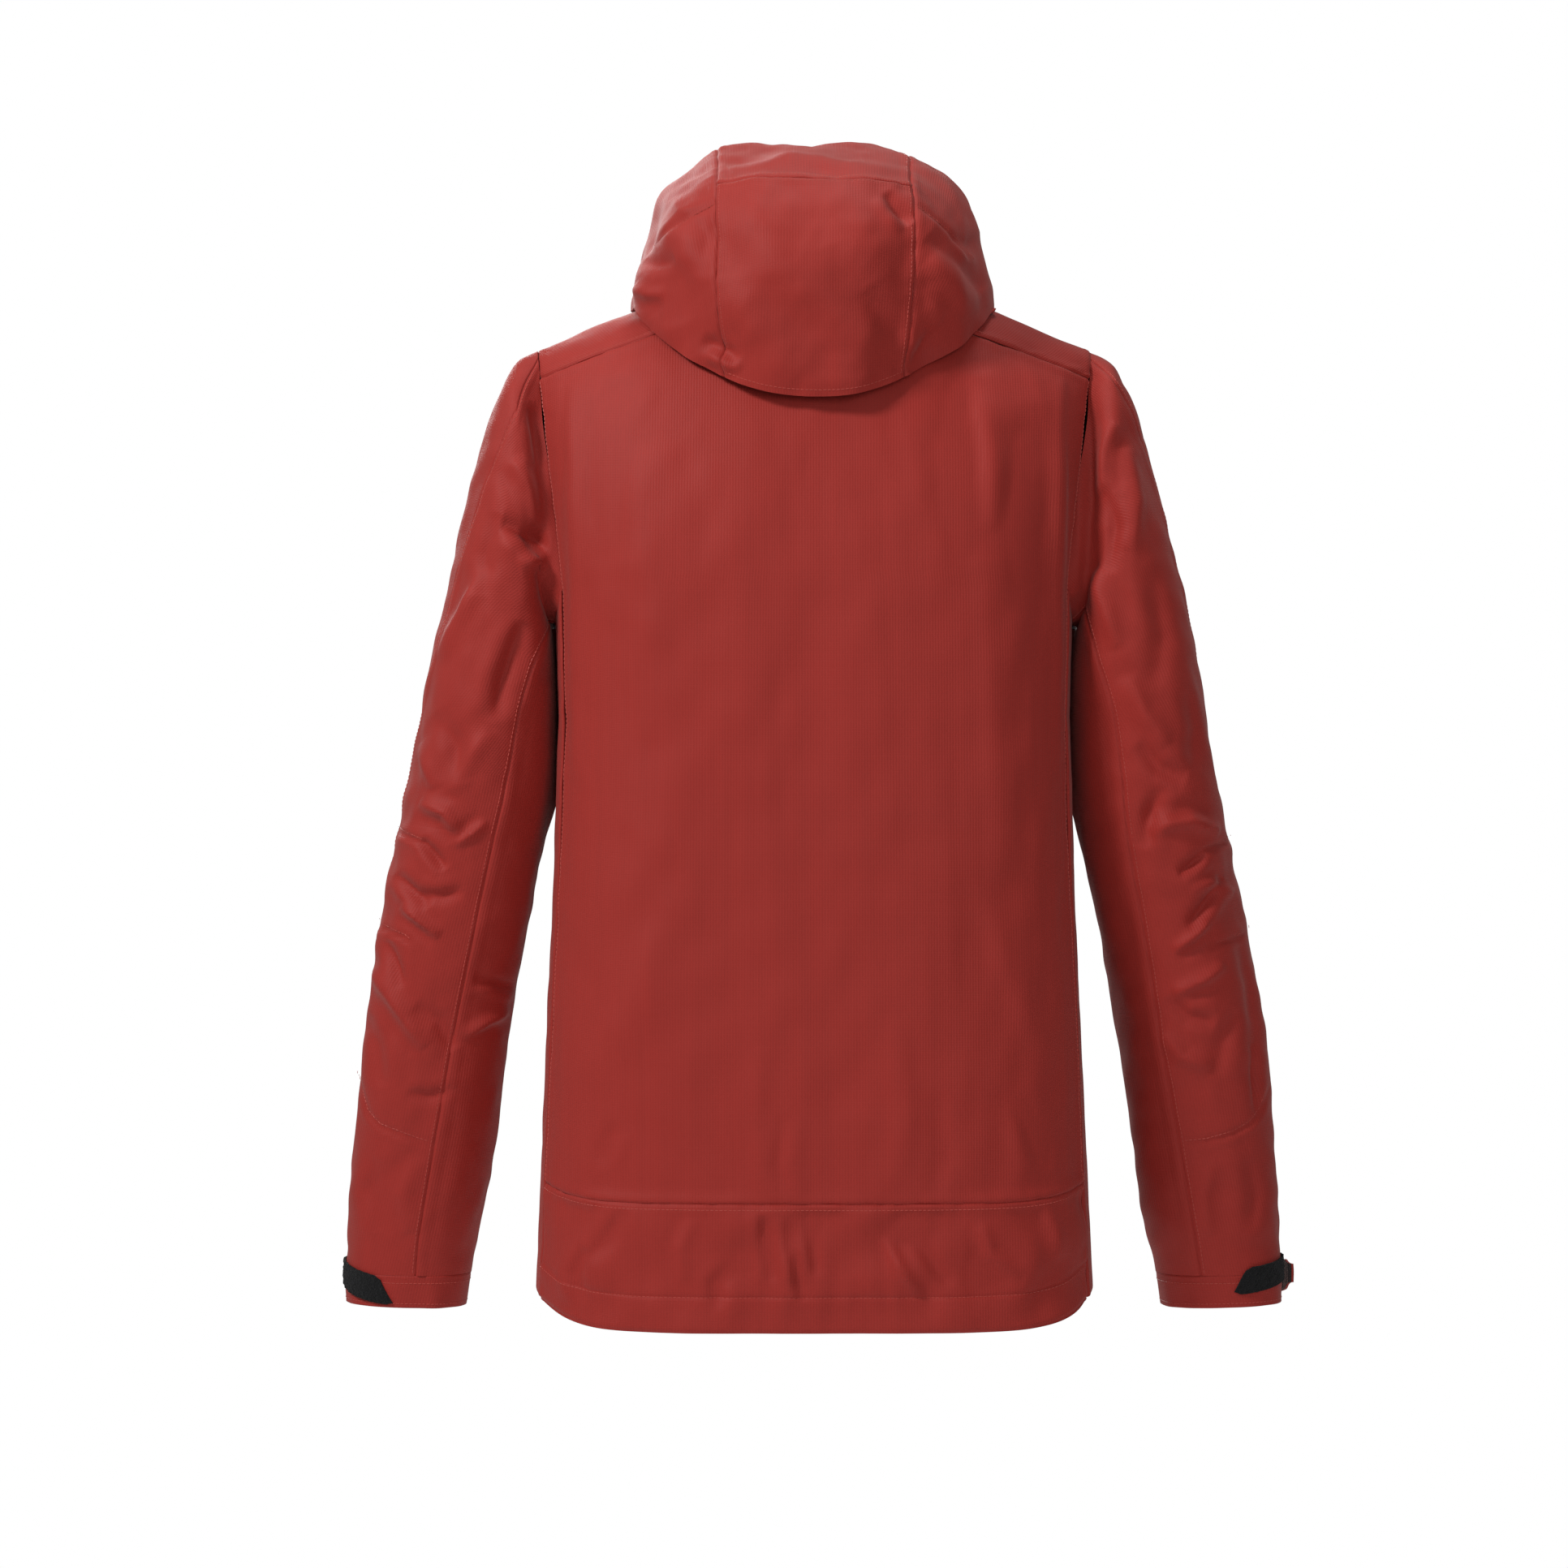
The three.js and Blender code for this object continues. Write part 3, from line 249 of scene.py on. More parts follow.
class Sheet:
    """A grid of cloth points worked out from a surface, with everything that is built on it."""

    def __init__(self, surface, us, vs, relief=None, depth=0.0, seams="", pucker=0.0003, seed=1, tube=False):
        """surface(u, v) moved along its outward normal by the relief, less the depth. seams names the edges
        that are sewn: l and r at u 0 and 1, b and t at v 0 and 1."""
        u, v = np.meshgrid(us, vs)
        base = surface(u, v)
        step = 1e-4
        across = surface(u + step, v) - surface(u - step, v)
        up = surface(u, v + step) - surface(u, v - step)
        normal = np.cross(across, up)
        normal /= np.linalg.norm(normal, axis=-1, keepdims=True) + 1e-12
        across_length = np.linalg.norm(np.diff(base, axis=1), axis=-1)
        up_length = np.linalg.norm(np.diff(base, axis=0), axis=-1)
        along = np.concatenate([np.zeros((len(vs), 1)), np.cumsum(across_length, 1)], 1)
        height = np.concatenate([np.zeros((1, len(us))), np.cumsum(up_length, 0)], 0)
        lift = np.full(u.shape, -depth)
        if relief is not None:
            lift = lift + relief(base, normal)
        distances = {"l": along, "r": along[:, -1:] - along, "b": height, "t": height[-1:] - height}
        for n, edge in enumerate(seams):
            lift = lift + seam_edge(distances[edge], height if edge in "lr" else along, pucker, seed + n)
        self.base, self.normal, self.tube = base, normal, tube
        self.points = base + normal * lift[..., None]
        self.uv = np.stack([along - along[:, -1:] / 2, height], -1)
        self.flat = (float(along[:, -1].max()), float(height[-1].max()))
        cells = np.linalg.norm(np.cross(np.diff(base, axis=1)[:-1], np.diff(base, axis=0)[:, :-1]), axis=-1)
        self.area = float(cells.sum())

    def facing(self):
        """Outward normals of the finished grid, from the steps to its neighbours."""
        across = np.gradient(self.points, axis=1)
        if self.tube:
            ends = self.points[:, 1] - self.points[:, -2]
            across[:, 0] = across[:, -1] = ends
        normal = np.cross(across, np.gradient(self.points, axis=0))
        return normal / (np.linalg.norm(normal, axis=-1, keepdims=True) + 1e-12)

    def mesh(self, name, outer, inner=None, thickness=CLOTH, exact=False):
        """A closed shell of that thickness: the grid, a second grid behind it and a rim round the edge."""
        rows, columns = self.points.shape[:2]
        index = np.arange(rows * columns).reshape(rows, columns)
        if self.tube:
            index[:, -1] = index[:, 0]
        behind = index + rows * columns
        a, b, c, d = index[:-1, :-1], index[:-1, 1:], index[1:, 1:], index[1:, :-1]
        quads = [np.stack([a, b, c, d], -1).reshape(-1, 4)]
        inside = np.stack([a, d, c, b], -1).reshape(-1, 4) + rows * columns
        rims = [np.stack([index[0, :-1], behind[0, :-1], behind[0, 1:], index[0, 1:]], -1),
                np.stack([index[-1, 1:], behind[-1, 1:], behind[-1, :-1], index[-1, :-1]], -1)]
        if not self.tube:
            rims += [np.stack([index[1:, 0], behind[1:, 0], behind[:-1, 0], index[:-1, 0]], -1),
                     np.stack([index[:-1, -1], behind[:-1, -1], behind[1:, -1], index[1:, -1]], -1)]
        faces = np.concatenate(quads + rims + [inside])
        points = np.concatenate([self.points, self.points - self.normal * thickness]).reshape(-1, 3)
        points = points + TO_FRAME
        mesh = bpy.data.meshes.new(name)
        mesh.from_pydata(points, [], faces)
        flat = self.uv.reshape(-1, 2)
        if self.tube:
            corner = self.loop_columns(rows, columns, faces)
        else:
            corner = flat[faces.reshape(-1) % (rows * columns)]
        layer = mesh.uv_layers.new(name="cloth")
        layer.data.foreach_set("uv", corner.astype(np.float32).reshape(-1))
        mesh.polygons.foreach_set("use_smooth", np.ones(len(faces), bool))
        mesh.materials.append(outer)
        if inner is not None:
            mesh.materials.append(inner)
            marks = np.zeros(len(faces), np.int32)
            marks[len(faces) - len(inside):] = 1
            mesh.polygons.foreach_set("material_index", marks)
        if exact:
            normal = self.facing().reshape(-1, 3)
            mesh.normals_split_custom_set_from_vertices(np.concatenate([normal, -normal]))
        if self.tube:
            self.drop(mesh, np.setdiff1d(np.arange(len(points)), faces))
        return shown(name, mesh)

    def shell(self, name, exact=False):
        """The closed shell in face cloth, with its dark knit backer inside."""
        return self.mesh(name, shell_finish, backer_finish, exact=exact)

    def loop_columns(self, rows, columns, faces):
        """UV of each corner of a tube, whose last column shares its points with the first."""
        flat = self.uv.reshape(-1, 2)
        place = faces % (rows * columns)
        column = place % columns
        wraps = (column == 0) & (np.max(column, axis=1, keepdims=True) > columns // 2)
        return flat[np.where(wraps, place + columns - 1, place)].reshape(-1, 2)

    def drop(self, mesh, loose):
        """Takes out the points that no face uses."""
        work = bmesh.new()
        work.from_mesh(mesh)
        work.verts.ensure_lookup_table()
        bmesh.ops.delete(work, geom=[work.verts[i] for i in loose], context="VERTS")
        work.to_mesh(mesh)
        work.free()


class Value:
    """A material's socket in a sum: + - * and the rest each add the Math node of that name."""

    def __init__(self, finish, socket):
        self.finish, self.socket = finish, socket

    def math(self, operation, *others, turned=False):
        terms = [self, *others]
        if turned:
            terms.reverse()
        return self.finish.node("Math", {"operation": operation}, dict(enumerate(terms)))

    def __add__(self, other):
        return self.math("ADD", other)

    def __sub__(self, other):
        return self.math("SUBTRACT", other)

    def __rsub__(self, other):
        return self.math("SUBTRACT", other, turned=True)

    def __mul__(self, other):
        return self.math("MULTIPLY", other)

    def sine(self):
        return self.math("SINE")

    __radd__ = __add__
    __rmul__ = __mul__


class Finish:
    """One material, built up a node at a time."""

    def __init__(self, name):
        self.material = bpy.data.materials.new(name)
        self.material.use_nodes = True
        self.tree = self.material.node_tree
        self.tree.nodes.clear()

    def node(self, kind, settings=None, inputs=None, output=0):
        """Adds a node of that kind, sets it up, then fills its sockets with values or links."""
        node = self.tree.nodes.new("ShaderNode" + kind)
        for name, value in (settings or {}).items():
            setattr(node, name, value)
        for name, value in (inputs or {}).items():
            if isinstance(value, Value):
                self.tree.links.new(value.socket, node.inputs[name])
            else:
                node.inputs[name].default_value = value
        return Value(self, node.outputs[output]) if node.outputs else None

    def noise(self, vector, scale, detail=2.0, roughness=0.5):
        return self.node("TexNoise", {}, {"Vector": vector, "Scale": scale, "Detail": detail,
                                          "Roughness": roughness})

    def blend_colours(self, share, first, second):
        return self.node("Mix", {"data_type": "RGBA"}, {0: share, 6: (*first, 1), 7: (*second, 1)}, 2)

    def surface(self, colour, roughness, height=None, distance=0.0002, strength=0.6, **fixed):
        """The one shader, its bump and its output."""
        inputs = {"Base Color": colour, "Roughness": roughness}
        inputs.update({name.replace("_", " "): value for name, value in fixed.items()})
        if height is not None:
            bump = {"Height": height, "Distance": distance, "Strength": strength}
            inputs["Normal"] = self.node("Bump", {}, bump)
        shader = self.node("BsdfPrincipled", {}, inputs)
        self.node("OutputMaterial", {}, {"Surface": shader})
        return self.material


def woven(name, colour, pitch=0.0021, ribs=0.10, sheen=0.10, rough=0.60, depth=0.00016):
    """Woven cloth that follows the piece's own cloth map: warp ribs a pitch apart, finer weft, threads of
    uneven thickness, and a slow drift of tone where the coating is thicker."""
    finish = Finish(name)
    place = finish.node("TexCoord", output=2)
    flat = finish.node("SeparateXYZ", {}, {0: place})
    cross = Value(finish, flat.socket.node.outputs[1])
    wander = finish.noise(place, 260, 1.0) * 1.6
    warp = (flat * (2 * np.pi / pitch) + wander).sine()
    weft = (cross * (2 * np.pi / (0.62 * pitch)) + wander).sine()
    slubs = finish.noise(place, 900, 2.0)
    stands = finish.node("TexCoord", output=3)
    drift = finish.noise(stands, 7, 3.0)
    drawn = finish.node("VectorMath", {"operation": "MULTIPLY"}, {0: stands, 1: (1, 1, 0.045)})
    streaks = finish.noise(drawn, 120, 3.0, 0.6)
    tone = warp * ribs + weft * (0.5 * ribs) + slubs * 0.45 + drift * 0.3 + streaks * 0.35 - 0.05
    dark = [0.82 * c for c in colour]
    light = [min(1, 1.18 * c) for c in colour]
    shade = finish.blend_colours(tone, dark, light)
    relief = warp * 0.5 + weft * 0.35 + slubs * 0.8 + streaks * 1.6
    return finish.surface(shade, slubs * 0.12 + (rough - 0.06), relief, depth, 0.6, Sheen_Weight=sheen,
                          Sheen_Roughness=0.5, Sheen_Tint=(1, 0.75, 0.7, 1), Specular_IOR_Level=0.22)


SHELL_RED = (0.318, 0.0222, 0.0158)
shell_finish = woven("red face cloth", SHELL_RED)
backer_finish = woven("dark knit backer", (0.030, 0.032, 0.036), pitch=0.0016, sheen=0.1, rough=0.75)
thread_finish = woven("red sewing thread", (0.44, 0.07, 0.055), pitch=0.0009, sheen=0.1, rough=0.5)


def stitches(name, lines, spacing=0.0033, length=0.0025):
    """A row of stitches along each line of (points, normals): short bars 0.6 mm wide that lie in the cloth's
    surface, each a low ridge with pinched ends."""
    profile = np.array([[-0.5, -0.3, 0], [-0.5, 0.3, 0], [-0.5, 0, 0.6], [-0.2, -0.5, 0], [-0.2, 0.5, 0],
                        [-0.2, 0, 1], [0.2, -0.5, 0], [0.2, 0.5, 0], [0.2, 0, 1], [0.5, -0.3, 0],
                        [0.5, 0.3, 0], [0.5, 0, 0.6]])
    ring = [[0, 2, 1], [9, 10, 11]]
    for k in (0, 3, 6):
        ring += [[k, k + 3, k + 5, k + 2], [k + 2, k + 5, k + 4, k + 1], [k + 1, k + 4, k + 3, k]]
    points, faces = [], []
    for line, normals in lines:
        gaps = np.linalg.norm(np.diff(line, axis=0), axis=1)
        reach = np.concatenate([[0], np.cumsum(gaps)])
        marks = np.arange(spacing, reach[-1] - spacing, spacing)
        if len(marks) < 2:
            continue
        at = np.stack([np.interp(marks, reach, line[:, k]) for k in range(3)], -1)
        ahead = np.stack([np.interp(marks + 0.0008, reach, line[:, k]) for k in range(3)], -1)
        up = np.stack([np.interp(marks, reach, normals[:, k]) for k in range(3)], -1)
        up /= np.linalg.norm(up, axis=-1, keepdims=True)
        way = ahead - at
        way -= up * np.sum(way * up, -1, keepdims=True)
        way /= np.linalg.norm(way, axis=-1, keepdims=True) + 1e-12
        side = np.cross(up, way)
        scale = np.array([length, 0.0006, 0.0004])
        local = profile * scale
        bars = (at[:, None] + way[:, None] * local[None, :, :1] + side[:, None] * local[None, :, 1:2]
                + up[:, None] * (local[None, :, 2:] - 0.00005))
        first = sum(len(p) for p in points)
        points.append(bars.reshape(-1, 3))
        for n in range(len(marks)):
            faces += [[first + n * 12 + i for i in face] for face in ring]
    mesh = bpy.data.meshes.new(name)
    mesh.from_pydata(np.concatenate(points) + TO_FRAME, [], faces)
    mesh.materials.append(thread_finish)
    return shown(name, mesh)


def row_line(sheet, row):
    return sheet.points[row], sheet.facing()[row]


def column_line(sheet, column):
    return sheet.points[:, column], sheet.facing()[:, column]


def row_pair(sheet):
    """The lines of topstitching beside the seams at both ends of a sheet."""
    return [row_line(sheet, 5), row_line(sheet, -6)]


def column_pair(sheet):
    return [column_line(sheet, 5), column_line(sheet, -6)]


def on_cloth(sheet, path, back=True, reach=0.004):
    """A path in millimetres across and up, laid on the back or front of a sheet: each of its points, 1 mm
    apart, takes the mean of the four nearest cloth points; points off the cloth are left out."""
    path = np.array(path, float) / 1000
    lengths = np.concatenate([[0], np.cumsum(np.linalg.norm(np.diff(path, axis=0), axis=1))])
    marks = np.arange(0, lengths[-1], 0.001)
    x = np.interp(marks, lengths, path[:, 0])
    z = np.interp(marks, lengths, path[:, 1])
    normal = sheet.facing().reshape(-1, 3)
    points = sheet.points.reshape(-1, 3)
    seen = normal[:, 1] > 0.05 if back else normal[:, 1] < -0.05
    points, normal = points[seen], normal[seen]
    gap = np.hypot(x[:, None] - points[None, :, 0], z[:, None] - points[None, :, 2])
    nearest = np.argpartition(gap, 4, axis=1)[:, :4]
    near = np.take_along_axis(gap, nearest, 1)
    weight = 1 / (near + 1e-5)
    weight /= weight.sum(1, keepdims=True)
    at = np.sum(points[nearest] * weight[..., None], 1)
    up = np.sum(normal[nearest] * weight[..., None], 1)
    kept = near.min(1) < reach
    at[:, 0], at[:, 2] = x, z
    return at[kept], up[kept]


STRAP = 0.0101


def hang(piece, body, sheet, stands_for, with_pieces=()):
    """Hands a finished sheet of cloth and the pieces sewn to it to its body and hides the parts they stand
    for. It reads the size the sheet was cut to, and a strip narrower than 10 mm counts as a strap, but
    nothing is done with either. A strip narrower than 10 mm is a strap and isn't declared."""
    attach(piece, body)
    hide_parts(*stands_for)
    for extra in with_pieces:
        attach(extra, body)
    width, length = sheet.flat
    if width < STRAP:
        return


seam_gap = 0.00025 / BACK_DEPTH
BACK_START = SIDE_SEAM + seam_gap


BACK_FOLDS = (
    ([(-120, 705), (-127, 650), (-131, 585)], 13, 2.0),
    ([(-108, 700), (-104, 640), (-112, 560)], 17, -1.6),
    ([(-160, 680), (-150, 600), (-152, 520)], 16, -1.2),
    ([(-138, 590), (-130, 470), (-136, 330)], 20, 1.1),
    ([(150, 700), (156, 640), (150, 560)], 18, -1.3),
    ([(120, 650), (128, 560), (122, 430)], 24, 1.0),
    ([(60, 640), (50, 520), (58, 380)], 30, 0.9),
    ([(-20, 600), (-30, 450), (-20, 300)], 34, 0.9),
    ([(-151, 170), (-160, 140), (-169, 118)], 7, -1.6),
    ([(-120, 330), (-150, 240), (-176, 190)], 13, 0.9),
    ([(156, 121), (151, 135), (145, 152)], 6, -1.4),
    ([(110, 300), (140, 230), (170, 180)], 16, 0.9),
    ([(40, 105), (45, 150), (38, 210)], 11, 0.7),
    ([(-60, 108), (-66, 160), (-58, 230)], 12, 0.7),
    ([(20, 98), (26, 122), (22, 160)], 6, -1.0),
    ([(-86, 98), (-94, 130), (-90, 176)], 8, -0.9),
    ([(181, 700), (178, 620), (177, 540), (180, 400)], 7, 1.3),
    ([(-182, 700), (-180, 620), (-179, 540), (-182, 400)], 7, 1.5),
)


def back_relief(points, normal):
    """Soft upright folds of the back: two long ones under the right shoulder blade, drag lines from the
    shoulders and a few at the waist, over a slow unevenness."""
    x, z = points[..., 0], points[..., 2]
    lift = 0.0020 * crumple(points * np.array([1, 1, 0.35]), 0.11, 11)
    lift = lift + 0.0007 * crumple(points * np.array([1, 1, 0.6]), 0.035, 12)
    lift = lift + creases(x, z, BACK_FOLDS, 0.85, 2.4)
    above = z - UNDERARM - band_rise(angle_of(points))
    held = np.maximum(smooth(-np.abs(x), -0.1895, -0.1835), smooth(-z, -0.55, -0.53))
    held = held * smooth(above, 0, 0.012)
    return np.maximum(lift, -DEEPEST) * smooth(normal[..., 1], 0.1, 0.6) * held


BAND_FOLDS = (
    ([(38, 88), (36, 64), (31, 38)], 4.5, -1.3),
    ([(27, 86), (25, 60), (21, 36)], 5, 1.0),
    ([(3, 88), (2, 66), (-1, 42)], 4.5, -1.2),
    ([(-51, 70), (-60, 50), (-76, 28)], 5, 1.5),
    ([(-72, 76), (-82, 56), (-98, 34)], 5.5, -1.3),
    ([(-120, 80), (-128, 56), (-150, 40)], 6, 1.2),
    ([(90, 84), (98, 62), (96, 36)], 6, 0.9),
    ([(140, 90), (150, 70), (165, 52)], 7, -1.1),
    ([(-165, 96), (-176, 72), (-180, 50)], 7, 1.1),
    ([(14, 60), (13, 40), (9, 24)], 4, -1.0),
    ([(168, 60), (176, 40), (172, 20)], 6, -1.6),
    ([(60, 50), (72, 36), (70, 18)], 6, -1.1),
)


def band_relief(points, normal):
    """The band puckers where the elastic behind it takes up the cloth, most to the right of the middle."""
    x, z = points[..., 0], points[..., 2]
    lift = 0.0022 * crumple(points, 0.06, 14)
    gathers = crumple(np.stack([x, 0 * x, 0.25 * z], -1), 0.021, 15)
    lift = lift + 0.0016 * gathers * np.exp(-(((z - 0.028) / 0.022) ** 2))
    lift = lift + creases(x, z, BAND_FOLDS, 0.8, 3.0)
    below = band_rise(angle_of(points)) + UNDERARM - z
    lift = np.maximum(lift, -DEEPEST) * smooth(below, 0, 0.010)
    turned = z - HEM_STEP * side_share(angle_of(points)) ** 10
    lift = lift - 0.0007 * np.exp(-(((turned - HEM_STITCH) / 0.0011) ** 2))
    return lift - 0.0012 * np.exp(-((turned / 0.0018) ** 2))


back_panel = panel(BACK_START, np.pi - BACK_START, band_rise, back_top)
back = Sheet(back_panel, steps(0.48, 0.0036), steps(0.63, 0.0040), back_relief, seams="lrbt", seed=20)
back_stitches = stitches("back_stitches", column_pair(back))
hang(back.shell("back_cloth"), "jacket", back, ["back_panel"],
     [back_stitches])

band_panel = panel(BACK_START, np.pi - BACK_START, hem_rise, band_rise)
hem_share = HEM_STITCH / BAND_HEIGHT
band_rows = np.concatenate([steps(BAND_HEIGHT, 0.0028), hem_share + np.array([-0.012, -0.006, 0.006, 0.012])])
band_rows = np.sort(band_rows)
band = Sheet(band_panel, steps(0.50, 0.0030), band_rows, band_relief, seams="lrt", pucker=0.0007, seed=30)
hem_line = int(np.argmin(np.abs(band_rows - hem_share)))
band_stitches = stitches("hem_band_stitches", [row_line(band, -6), row_line(band, hem_line)])
hang(band.shell("hem_band_cloth"), "jacket", band, ["back_hem_band"],
     [band_stitches])

# ---- Side, front and shoulder panels ----
# Narrow panels under the arms, two fronts with a slot for each hand pocket's zip, and a yoke over each
# shoulder, all of the same face cloth with taped seams and one row of topstitching beside them.
ZIP_HALF = 0.007
zip_angle = np.arctan(ZIP_HALF / CHEST_HALF)
FRONT_START = -np.pi / 2 + zip_angle
FRONT_END = -SIDE_SEAM - seam_gap
side_words = ((1, "left"), (-1, "right"))
ARMHOLE_DIP = 0.025


def armhole_rise(angle):
    """The armhole dips 25 mm under the arm, as half an ellipse between the two side seams."""
    return -ARMHOLE_DIP * np.sqrt(np.clip(1 - (angle / SIDE_SEAM) ** 2, 0, 1))


def soft_relief(seed, tall=0.0012, fine=0.0003, size=0.10):
    def relief(points, normal):
        """Slow unevenness, drawn out up and down, with a little finer crumpling on it."""
        slow = crumple(points * np.array([1, 1, 0.4]), size, seed)
        return tall * slow + fine * crumple(points, 0.03, seed + 1)
    return relief


def flank_relief(seed):
    base = soft_relief(seed, 0.0005)

    def relief(points, normal):
        """The unevenness, standing 1.5 mm fuller behind the middle where it hangs from the armhole."""
        fuller = smooth(points[..., 1], -0.01, 0.02) * smooth(points[..., 2], 0.3, 0.42)
        return base(points, normal) + 0.0015 * fuller
    return relief


CHEST_FOLDS = (
    ([(160, 680), (148, 620), (158, 540)], 14, -2.0),
    ([(176, 640), (166, 590), (178, 520)], 9, 1.7),
    ([(60, 640), (72, 540), (62, 440)], 20, 1.2),
    ([(120, 470), (134, 420), (124, 380)], 10, 1.2),
    ([(150, 200), (132, 150), (140, 80)], 15, -1.3),
    ([(40, 330), (52, 230), (42, 120)], 18, 1.2),
    ([(185, 330), (172, 260), (182, 190)], 10, 1.3),
)


def front_relief(side, seed):
    base = soft_relief(seed)

    def relief(points, normal):
        """The unevenness, drag lines from chest to pocket, and folds where the arm meets the chest."""
        x, z = side * points[..., 0], points[..., 2]
        lift = base(points, normal)
        lift = lift + creases(x, z, CHEST_FOLDS, 1.0, 1.4)
        front = smooth(-normal[..., 1], 0.05, 0.5)
        return lift * (0.3 + 0.7 * front) - 0.0008 * np.exp(-(((z - 0.047) / 0.0012) ** 2)) * front
    return relief


YOKE_GAP = 0.0027


def yoke_surface(side):
    def surface(u, v):
        """The shoulder arch between the two yoke seams, from the neckline out to the armhole."""
        first = YOKE_SEAM + YOKE_GAP
        turn = first + (np.pi - 2 * first) * v
        back = turn < np.pi / 2
        neck = np.where(back, NECK_BACK, NECK_FRONT) + NECK_EASE
        depth = np.where(back, BACK_DEPTH, FRONT_CHEST)
        lean = np.abs(arch_point(0 * turn, turn)[..., 1]) / depth
        hole = np.sqrt(np.clip(1 - (0.985 * depth * lean / neck) ** 2, 0, 1))
        inner = NECK_EDGE * hole / (CHEST_HALF + SHOULDER_OUT * np.sin(turn))
        edge = unit_radius(np.array(SIDE_SEAM)) * np.cos(SIDE_SEAM)
        across = edge + (inner - edge) * u if side > 0 else -(inner + (edge - inner) * u)
        return arch_point(across, turn)
    return surface


def cut_out(piece, name, size, place, turn):
    """Cuts a box-shaped slot out of a piece and keeps the result as its mesh."""
    corners = np.array([[x, y, z] for x in (-0.5, 0.5) for y in (-0.5, 0.5) for z in (-0.5, 0.5)]) * size
    block = bpy.data.meshes.new(name)
    sides = [(0, 1, 3, 2), (4, 6, 7, 5), (0, 4, 5, 1), (2, 3, 7, 6), (0, 2, 6, 4), (1, 5, 7, 3)]
    block.from_pydata(corners, [], sides)
    cutter = shown(name, block)
    cutter.matrix_world = Matrix.Translation(place) @ turn
    cut = piece.modifiers.new("slot", "BOOLEAN")
    cut.operation = "DIFFERENCE"
    cut.object = cutter
    cut.solver = "EXACT"
    result = bpy.data.meshes.new_from_object(piece.evaluated_get(bpy.context.evaluated_depsgraph_get()))
    piece.modifiers.clear()
    piece.data = result
    bpy.data.objects.remove(cutter)


POCKET_X, POCKET_Z, POCKET_LENGTH = 0.122, 0.205, 0.160


def pocket_turn(side):
    """The way the pocket zip stands on the front: leaning back with the chest and turned to its curve."""
    lean = np.arctan((FRONT_HEM - FRONT_CHEST) / UNDERARM)
    share = POCKET_X / half_width(POCKET_Z)
    profile = (1 - share ** 3) ** (1 / 3)
    slope = front_depth(POCKET_Z) * share ** 2 / half_width(POCKET_Z) * profile ** -2
    foot = Vector((side * POCKET_X, MIDDLE - front_depth(POCKET_Z) * profile, LOW + POCKET_Z))
    return foot, Matrix.Rotation(-lean, 4, "X") @ Matrix.Rotation(side * np.arctan(slope), 4, "Z")


for side, word in side_words:
    flank_surface = panel(-SIDE_SEAM + seam_gap, SIDE_SEAM - seam_gap, hem_rise, armhole_rise, side)
    flank = Sheet(flank_surface, steps(0.10, 0.004), steps(0.52, 0.005), flank_relief(40 + side), seams="lr",
                  seed=44 + side)
    hang(flank.shell(f"side_cloth_{word}"), "jacket", flank, [f"side_panel_{word}"])

    front_surface = panel(FRONT_START, FRONT_END, hem_rise, front_top, side)
    front = Sheet(front_surface, steps(0.235, 0.0034), steps(0.68, 0.0042), front_relief(side, 50 + side),
                  seams="lrt", seed=54 + side)
    front_seam = stitches(f"front_stitches_{word}", column_pair(front))
    piece = front.shell(f"front_cloth_{word}")
    foot, turn = pocket_turn(side)
    slot_size = (0.0144, 0.024, POCKET_LENGTH + 0.001)
    cut_out(piece, "slot", slot_size, foot + turn @ Vector((0, 0, POCKET_LENGTH / 2)), turn)
    hang(piece, "jacket", front, [f"front_panel_{word}"], [front_seam])

    yoke = Sheet(yoke_surface(side), steps(0.15, 0.0034), steps(0.20, 0.0036),
                 soft_relief(60 + side, 0.0010, 0.0003, 0.07), seams="lrbt", pucker=0.0004, seed=64 + side)
    yoke_seam = stitches(f"yoke_stitches_{word}", row_pair(yoke))
    hang(yoke.shell(f"yoke_cloth_{word}"), "jacket", yoke,
         [f"shoulder_yoke_{word}"], [yoke_seam])

# ---- Lining, pocket bags and hem tunnel ----
# A thin dark knit lining hangs inside the shell on the body's seams; the pocket bags lie between the two.
# The hem's facing makes a tunnel for a round elastic that runs through a cord lock beside each front edge.
LINING_DEPTH = 0.0058
LINING = 0.0011
FACING_EDGE = 0.024
LOCK_EDGE = 0.038


def below_collar(edge):
    return lambda angle: edge(angle) - 0.009


def lining_low(angle):
    return hem_rise(angle) + 0.0269


def lining_cloth(name, surface, size, stands_for, seed, depth=LINING_DEPTH, seams="lrt"):
    """One piece of lining, with loose folds that stay inside the room it has."""
    sheet = Sheet(surface, steps(size[0], 0.007), steps(size[1], 0.008),
                  soft_relief(seed, 0.0005, 0.0002, 0.05), depth=depth, seams=seams, seed=seed)
    hang(sheet.mesh(name, lining_finish, None, LINING), "jacket", sheet, stands_for)


